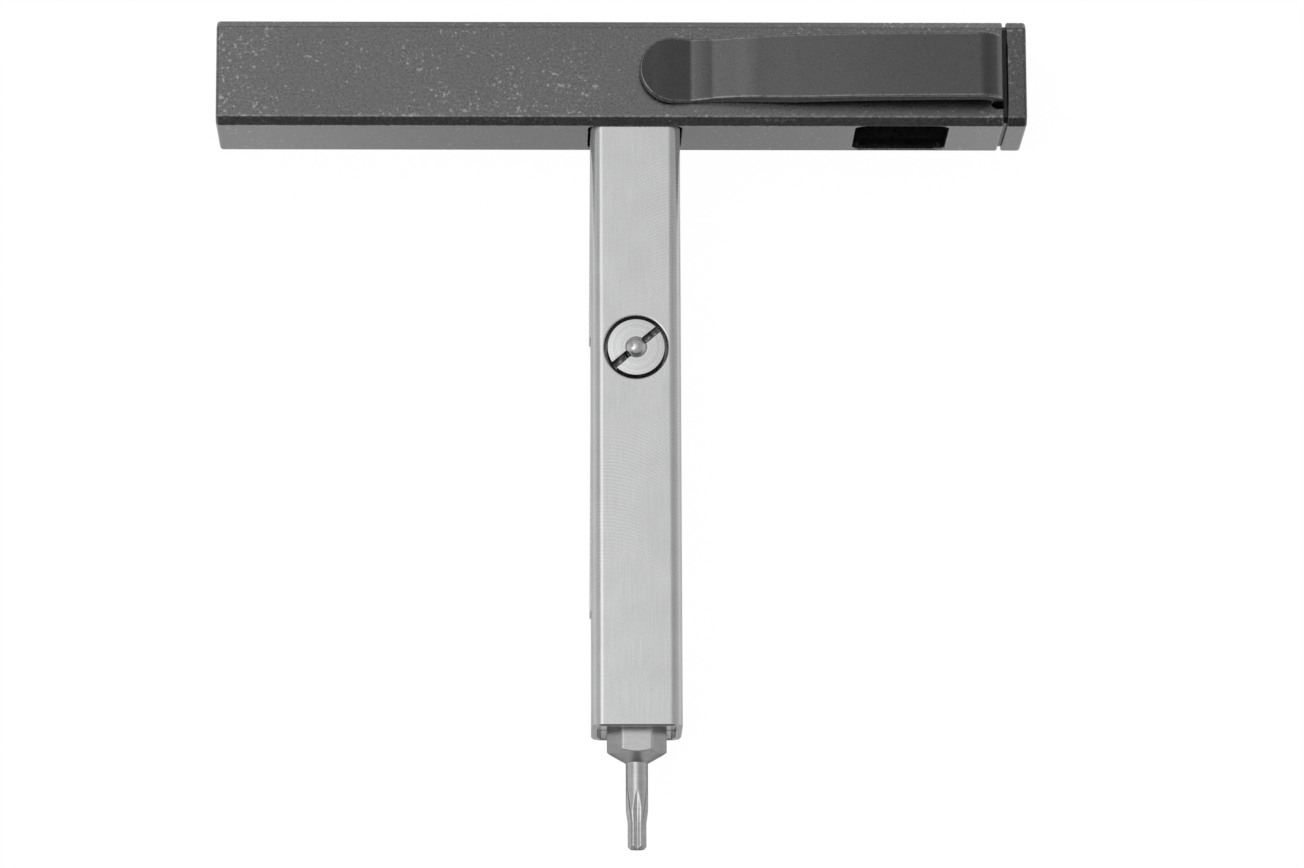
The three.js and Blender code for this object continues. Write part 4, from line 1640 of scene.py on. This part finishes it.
@dataclass
class Detent:
    """Slotted hollow screw, ball and spring in the stem's front face. Lengths in metres."""

    edge: float = 0.06 * MM
    mouth: float = 1.305 * MM
    mouth_edge: float = 0.018 * MM
    bore: float = 1.5 * MM
    ball_centre: float = -0.6 * MM
    slot_width: float = 0.85 * MM
    slot_depth: float = 1.2 * MM
    slot_angle: float = math.radians(40)
    slot_rim: float = 0.05 * MM
    slot_corner: float = 0.1 * MM
    wire: float = 0.35 * MM
    coil: float = 1.12 * MM
    turns: int = 5
    points: int = 96
    ball_rings: int = 49
    pole_angle: float = 0.02
    turn_steps: int = 36
    wire_points: int = 14
    low: np.ndarray = field(init=False)
    high: np.ndarray = field(init=False)
    centre: Span = field(init=False)

    def __post_init__(self) -> None:
        """Takes the plug's place from the frame."""
        self.low, self.high = np.array(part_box("detent_plug"))
        x, y, _ = (self.low + self.high) / 2
        self.centre = (x, y)

    def build(self) -> None:
        """Makes and dresses the detent's three pieces."""
        self.plug()
        self.ball()
        self.spring()

    def plug(self) -> None:
        """Turned profile, from the mouth out over the face, down the side and up the bore, with its slot."""
        radius = (self.high[0] - self.low[0]) / 2
        face, end = self.high[2], self.low[2]
        profile = [(self.mouth, face - self.mouth_edge), (self.mouth + self.mouth_edge, face)]
        profile += [(radius - inset, face - depth) for inset, depth in rounded(self.edge)]
        profile += [(radius, end), (self.bore, end), (self.bore, face + self.ball_centre)]
        loops = [loop(circle(r, self.points), Axis.Z, z, self.centre) for r, z in profile]
        made = skin("detent_plug_dressed", loops, Ends.JOINED)
        cosine, sine = math.cos(self.slot_angle), math.sin(self.slot_angle)
        turn = np.array([[cosine, sine], [-sine, cosine]])

        def outline(wider: float) -> np.ndarray:
            """The slot right across the face, widened all round."""
            size = (2 * radius + MM + 2 * wider, self.slot_width + 2 * wider)
            return rectangle(*size, self.slot_corner + wider) @ turn

        carve(made, [opening(outline, Axis.Z, face - self.slot_depth, face, self.slot_rim, self.centre)])
        dress(made, "detent_plug", "stem", Turned(axis=self.centre, face=face))

    def ball(self) -> None:
        """A sphere: circles of radius r * sin(t) at heights r * cos(t)."""
        low, high = np.array(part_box("detent_ball"))
        x, y, z = (low + high) / 2
        radius = (high[2] - low[2]) / 2
        angles = np.linspace(self.pole_angle, math.pi - self.pole_angle, self.ball_rings)
        circles = [(circle(radius * math.sin(t), self.points), z + radius * math.cos(t)) for t in angles]
        loops = [loop(outline, Axis.Z, at, (x, y)) for outline, at in circles]
        dress(skin("detent_ball_dressed", loops), "detent_ball", "detent_ball", Polished())

    def spring(self) -> None:
        """Wire on a helix: ring i lies round (coil * cos a, coil * sin a, rise * a) in the plane of a."""
        low, high = np.array(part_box("detent_spring"))
        bottom, top = low[2] + self.wire / 2, high[2] - self.wire / 2
        centre = self.centre
        angle = np.linspace(0.0, 2 * math.pi * self.turns, self.turn_steps * self.turns + 1)[:, None]
        round_wire = np.linspace(0.0, 2 * math.pi, self.wire_points, endpoint=False)[None, :]
        out = self.coil + self.wire / 2 * np.cos(round_wire)
        height = bottom + (top - bottom) * angle / angle[-1] + self.wire / 2 * np.sin(round_wire)
        rings = np.stack([centre[0] + out * np.cos(angle), centre[1] + out * np.sin(angle), height], axis=-1)
        made = dress(skin("detent_spring_dressed", list(rings)), "detent_spring", "stem", Ground(level=0.4))
        travel = next(joint["range_m"][1] for joint in frame["joints"] if joint["name"] == "ball_press")
        share = 1 - travel / (high[2] - low[2])
        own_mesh(made)


@dataclass
class InsertBit:
    """Quarter-inch insert bit: hexagon, cone, round neck and a six-lobe tip. Lengths in metres."""

    node: str
    body: str
    lobe_outer: float
    lobe_inner: float
    points_to: int = -1
    columns: int = 216
    flats: float = 6.35 * MM
    hexagon: float = 13.1 * MM
    cone: float = 1.4 * MM
    neck: float = 2.7 * MM
    neck_length: float = 5.95 * MM
    taper: float = 1.35 * MM
    tip: float = 3.2 * MM
    flutes: float = 7.0 * MM
    back_chamfer: float = 0.25 * MM
    tip_chamfer: float = 0.3 * MM
    corner_power: int = 80
    corner_clear: float = 0.05 * MM
    blend: float = 0.03 * MM
    fine_back: float = 1.2 * MM
    fine_cone: Span = (1.0 * MM, 0.2 * MM)
    fine_tip: float = 0.4 * MM
    rows: tuple[int, ...] = (25, 7, 63, 95, 13)

    def length(self) -> float:
        """The bit's whole length."""
        return self.hexagon + self.cone + self.neck_length + self.taper + self.tip

    def radius(self, angle: np.ndarray, depth: np.ndarray) -> np.ndarray:
        """The bit's radius.

        It is the least of three, with their meeting lines a little rounded: the hexagon
        flats / 2 / (sum of |cos(angle - k * 60 deg)|^n)^(1/n), the turned profile, and the lobes
        tip radius - (1 + cos(6 angle)) / 4 * (outer - inner), which widen to the neck where the flutes
        run out.

        Args:
            angle: Angles from Z, one row.
            depth: Depths from the bit's back, one column.

        Returns:
            Radius at each depth and angle.
        """
        facing = [np.abs(np.cos(angle - k * math.pi / 3)) ** self.corner_power for k in range(3)]
        hexagon = self.flats / 2 / np.sum(facing, axis=0) ** (1 / self.corner_power) + 0 * depth
        corner = self.flats / math.sqrt(3) + self.corner_clear
        back = self.flats / 2 - self.back_chamfer
        cone_end = self.hexagon + self.cone
        neck_end = cone_end + self.neck_length
        total = self.length()
        outer = self.lobe_outer / 2
        profile = [
            (0.0, back),
            (corner - back, corner),
            (self.hexagon, corner),
            (cone_end, self.neck / 2),
            (neck_end, self.neck / 2),
            (neck_end + self.taper, outer),
            (total - self.tip_chamfer, outer),
            (total, outer - self.tip_chamfer),
        ]
        turned = np.interp(depth, *np.transpose(profile)) + 0 * angle
        run_out = (self.neck - self.lobe_inner) / 2
        widen = np.interp(total - depth, [self.tip, self.flutes], [0.0, run_out])
        clear = np.where(total - depth > self.flutes, self.flats, 0.0)
        lobes = outer - (1 + np.cos(6 * angle)) / 4 * (self.lobe_outer - self.lobe_inner) + widen + clear
        stack = np.stack([hexagon, turned, lobes])
        least = stack.min(axis=0)
        return least - self.blend * np.log(np.exp((least - stack) / self.blend).sum(axis=0))

    def depths(self) -> np.ndarray:
        """Depths of the bit's rings from its back, closer together at its back, its cone and its tip.

        Returns:
            The depths in one column.
        """
        before, after = self.fine_cone
        cone = (self.hexagon - before, self.hexagon + self.cone + after)
        places = (0.0, self.fine_back, *cone, self.length() - self.fine_tip, self.length())
        spans = zip(places, places[1:], self.rows)
        rows = [np.linspace(start, end, count, endpoint=False) for start, end, count in spans]
        return np.concatenate([*rows, places[-1:]])[:, None]

    def build(self) -> None:
        """Makes the bit as one grid of angle and depth, and dresses it."""
        low, high = np.array(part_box(self.node))
        centre_z = (low[2] + high[2]) / 2
        back = high[1] if self.points_to < 0 else low[1]
        depth = self.depths()
        angle = np.linspace(0.0, 2 * math.pi, self.columns, endpoint=False)[None, :]
        radius = self.radius(angle, depth)
        y = back + self.points_to * depth + 0 * angle
        rings = np.stack([radius * np.sin(angle), y, centre_z + radius * np.cos(angle)], axis=-1)
        dress(skin(f"{self.node}_dressed", list(rings)), self.node, self.body, Ground())


# The studio


@dataclass(frozen=True)
class Camera:
    """The photograph's camera. Lengths in metres, angles in degrees, the focal length in pixels."""

    image_width: float = 1304.0
    focal: float = 6183.5
    distance: float = 760.25 * MM
    tilt: float = -12.389
    yaw: float = 1.267
    roll: float = 0.2337
    shift: Span = (-2.024 * MM, 4.1305 * MM)
    target: Triple = (0.0, -40.0 * MM, 6.6 * MM)
    sensor: float = 36.0
    near: float = 0.01

    def build(self) -> None:
        """Sets the camera: the rows of roll * tilt * yaw are its right, up and back."""
        turn = Matrix.Rotation(math.radians(self.roll), 3, "Z")
        turn = turn @ Matrix.Rotation(math.radians(self.tilt), 3, "X")
        turn = turn @ Matrix.Rotation(math.radians(self.yaw), 3, "Y")
        back = turn.transposed()
        place = Matrix.Translation(self.target) @ back.to_4x4()
        place = place @ Matrix.Translation((-self.shift[0], -self.shift[1], self.distance))
        data = bpy.data.cameras.new("camera")
        data.sensor_width = self.sensor
        data.lens = self.focal * self.sensor / self.image_width
        data.clip_start = self.near
        made = bpy.data.objects.new("camera", data)
        bpy.context.scene.collection.objects.link(made)
        made.matrix_world = place
        bpy.context.scene.camera = made


@dataclass(frozen=True)
class Studio:
    """White table in a tent with a broad soft light over the object's left, dim low down towards -Y.

    Along X the light is a plateau with a brighter stripe. Along Y it falls off as exp(-(dy / length)^2), where
    dy is the step of a direction's Y from that of the light's middle. A small key light stands towards -Y from
    it. Lengths are in metres, the table's ramps in millimetres, and the tent's places in parts of a unit
    direction.
    """

    table_radius: float = 4.0
    table_drop: float = 0.1 * MM
    tent_radius: float = 1.6
    tent_rows: int = 24
    tent_gap: float = 0.02
    points: int = 64
    board: float = 0.9
    shadow: float = 0.05
    white: float = 1.03
    mirrored: float = 0.65
    ends_gain: float = 0.28
    ends_ramp: Span = (15, 50)
    stem_dim: float = 0.12
    stem_ramp: Span = (-18, -11)
    bit_dim: float = 0.30
    bit_ramp: Span = (-81, -76)
    light: float = 0.65
    light_rise: Span = (-0.57, -0.40)
    light_fall: Span = (-0.26, 0.42)
    light_y: float = 0.05
    light_length: float = 0.45
    stripe: float = 0.36
    stripe_x: float = -0.35
    stripe_width: float = 0.11
    room: float = 0.40
    room_dim: float = 0.09
    dim_y: Span = (-0.9, -0.25)
    dim_z: Span = (0.3, 0.55)
    fill_left: float = 0.2
    fill_right: float = 0.1
    fill_ramp: Span = (0.7, 1.0)
    key: float = 1.5
    key_x: float = -0.52
    key_y: float = -0.24
    key_width: float = 0.2
    ambient: float = 0.5

    def build(self) -> None:
        """Makes table, tent and world, and sets the view transform."""
        bpy.context.scene.view_settings.view_transform = "Standard"
        self.table()
        self.tent()
        self.world()

    def seen(self, graph: Graph) -> Value:
        """What is seen, as against what only gives light.

        Args:
            graph: Node tree of a material or of the world.

        Returns:
            1 for what the camera sees itself, in a reflection or through glass, 0 otherwise.
        """
        path = graph.node("ShaderNodeLightPath")
        names = ("Is Camera Ray", "Is Glossy Ray", "Is Transmission Ray")
        return graph.most(*[graph.output(path, name) for name in names])

    def glow(self, graph: Graph, strength: Value, kind: str = "ShaderNodeEmission") -> Value:
        """The shader of a white light."""
        return graph.output(graph.node(kind, sockets={"Color": opaque(grey(1.0)), "Strength": strength}))

    def table(self) -> None:
        """White floor that keeps a faint shadow, and whose glow in reflections carries painted shade."""
        outline = circle(self.table_radius, self.points)
        made = skin("table", [loop(outline, Axis.Z, -self.table_drop - depth) for depth in (0.0, MM)])
        material, graph = node_material("table_white")
        board = graph.output(graph.node("ShaderNodeBsdfDiffuse", sockets={"Color": opaque(grey(self.board))}))
        camera = graph.output(graph.node("ShaderNodeLightPath"), "Is Camera Ray")
        x, y, _ = graph.parts(graph.point())
        # Painted shade: the glow that reflections show is brighter towards the ends and dimmer along the stem and
        # round the bit, for the object's shadow on the table.
        mirrored = (graph.ramp(abs(x) / MM, *self.ends_ramp) * self.ends_gain + 1) * self.mirrored
        mirrored = mirrored * (1 - (1 - graph.ramp(y / MM, *self.stem_ramp)) * self.stem_dim)
        mirrored = mirrored * (1 - (1 - graph.ramp(y / MM, *self.bit_ramp)) * self.bit_dim)
        white = self.glow(graph, mirrored + (self.white - mirrored) * camera)
        factor = self.seen(graph) * (1 - self.shadow)
        mixed = graph.output(graph.node("ShaderNodeMixShader", sockets={0: factor, 1: board, 2: white}))
        graph.node("ShaderNodeOutputMaterial", sockets={"Surface": mixed})
        material.cycles.emission_sampling = "NONE"
        made.data.materials.append(material)

    def tent(self) -> None:
        """Half sphere of light over the table, seen by the object and not by the camera."""
        lift = np.linspace(0.0, math.pi / 2 - self.tent_gap, self.tent_rows)
        outline = circle(self.tent_radius, self.points)
        rings = [loop(outline * math.cos(t), Axis.Z, self.tent_radius * math.sin(t)) for t in lift]
        made = skin("tent", rings, Ends.OPEN)
        material, graph = node_material("tent_light")
        unit = graph.node("ShaderNodeVectorMath", {"operation": "NORMALIZE"}, {0: graph.point()})
        x, y, z = graph.parts(graph.output(unit))
        plateau = graph.ramp(x, *self.light_rise) * (1 - graph.ramp(x, *self.light_fall)) * self.light
        stripe = self.bell(graph, x, self.stripe_x, self.stripe_width) * self.stripe
        light = (plateau + stripe) * self.bell(graph, y, self.light_y, self.light_length)
        low = (1 - graph.ramp(y, *self.dim_y)) * (1 - graph.ramp(z, *self.dim_z))
        room = self.room - low * (self.room - self.room_dim)
        left, right = (graph.ramp(side, *self.fill_ramp) for side in (-x, x))
        fill = left * self.fill_left + right * self.fill_right
        key = self.bell(graph, x, self.key_x, self.key_width) * self.key
        key = key * self.bell(graph, y, self.key_y, self.key_width)
        shader = self.glow(graph, light + room + fill + key)
        graph.node("ShaderNodeOutputMaterial", sockets={"Surface": shader})
        material.cycles.emission_sampling = "NONE"
        made.data.materials.append(material)
        made.visible_camera = False

    def bell(self, graph: Graph, value: Value, middle: float, width: float) -> Value:
        """exp(-((value - middle) / width)^2)."""
        step = (value - middle) / width
        return graph.math("EXPONENT", -(step * step))

    def world(self) -> None:
        """White for what is seen, plain grey as light."""
        made = bpy.data.worlds.new("studio")
        made.use_nodes = True
        bpy.context.scene.world = made
        graph = Graph(made.node_tree)
        strength = self.seen(graph) * (1 - self.ambient) + self.ambient
        shader = self.glow(graph, strength, "ShaderNodeBackground")
        graph.node("ShaderNodeOutputWorld", sockets={"Surface": shader})
        made.cycles.sampling_method = "NONE"


def main() -> None:
    """Builds the studio and the driver's sub-assemblies in order."""
    logging.basicConfig(level=logging.INFO, format="%(name)s: %(message)s")
    Camera().build()
    Studio().build()
    Handle().build()
    Clip().build()
    Stem().build()
    Detent().build()
    driver = InsertBit("driver_bit", "driver_bit", lobe_outer=2.31 * MM, lobe_inner=1.65 * MM)
    spare = InsertBit(
        "spare_bit", "stem", lobe_outer=1.7 * MM, lobe_inner=1.21 * MM, points_to=1, columns=108
    )
    driver.build()
    spare.build()


if __name__ == "__main__":
    main()
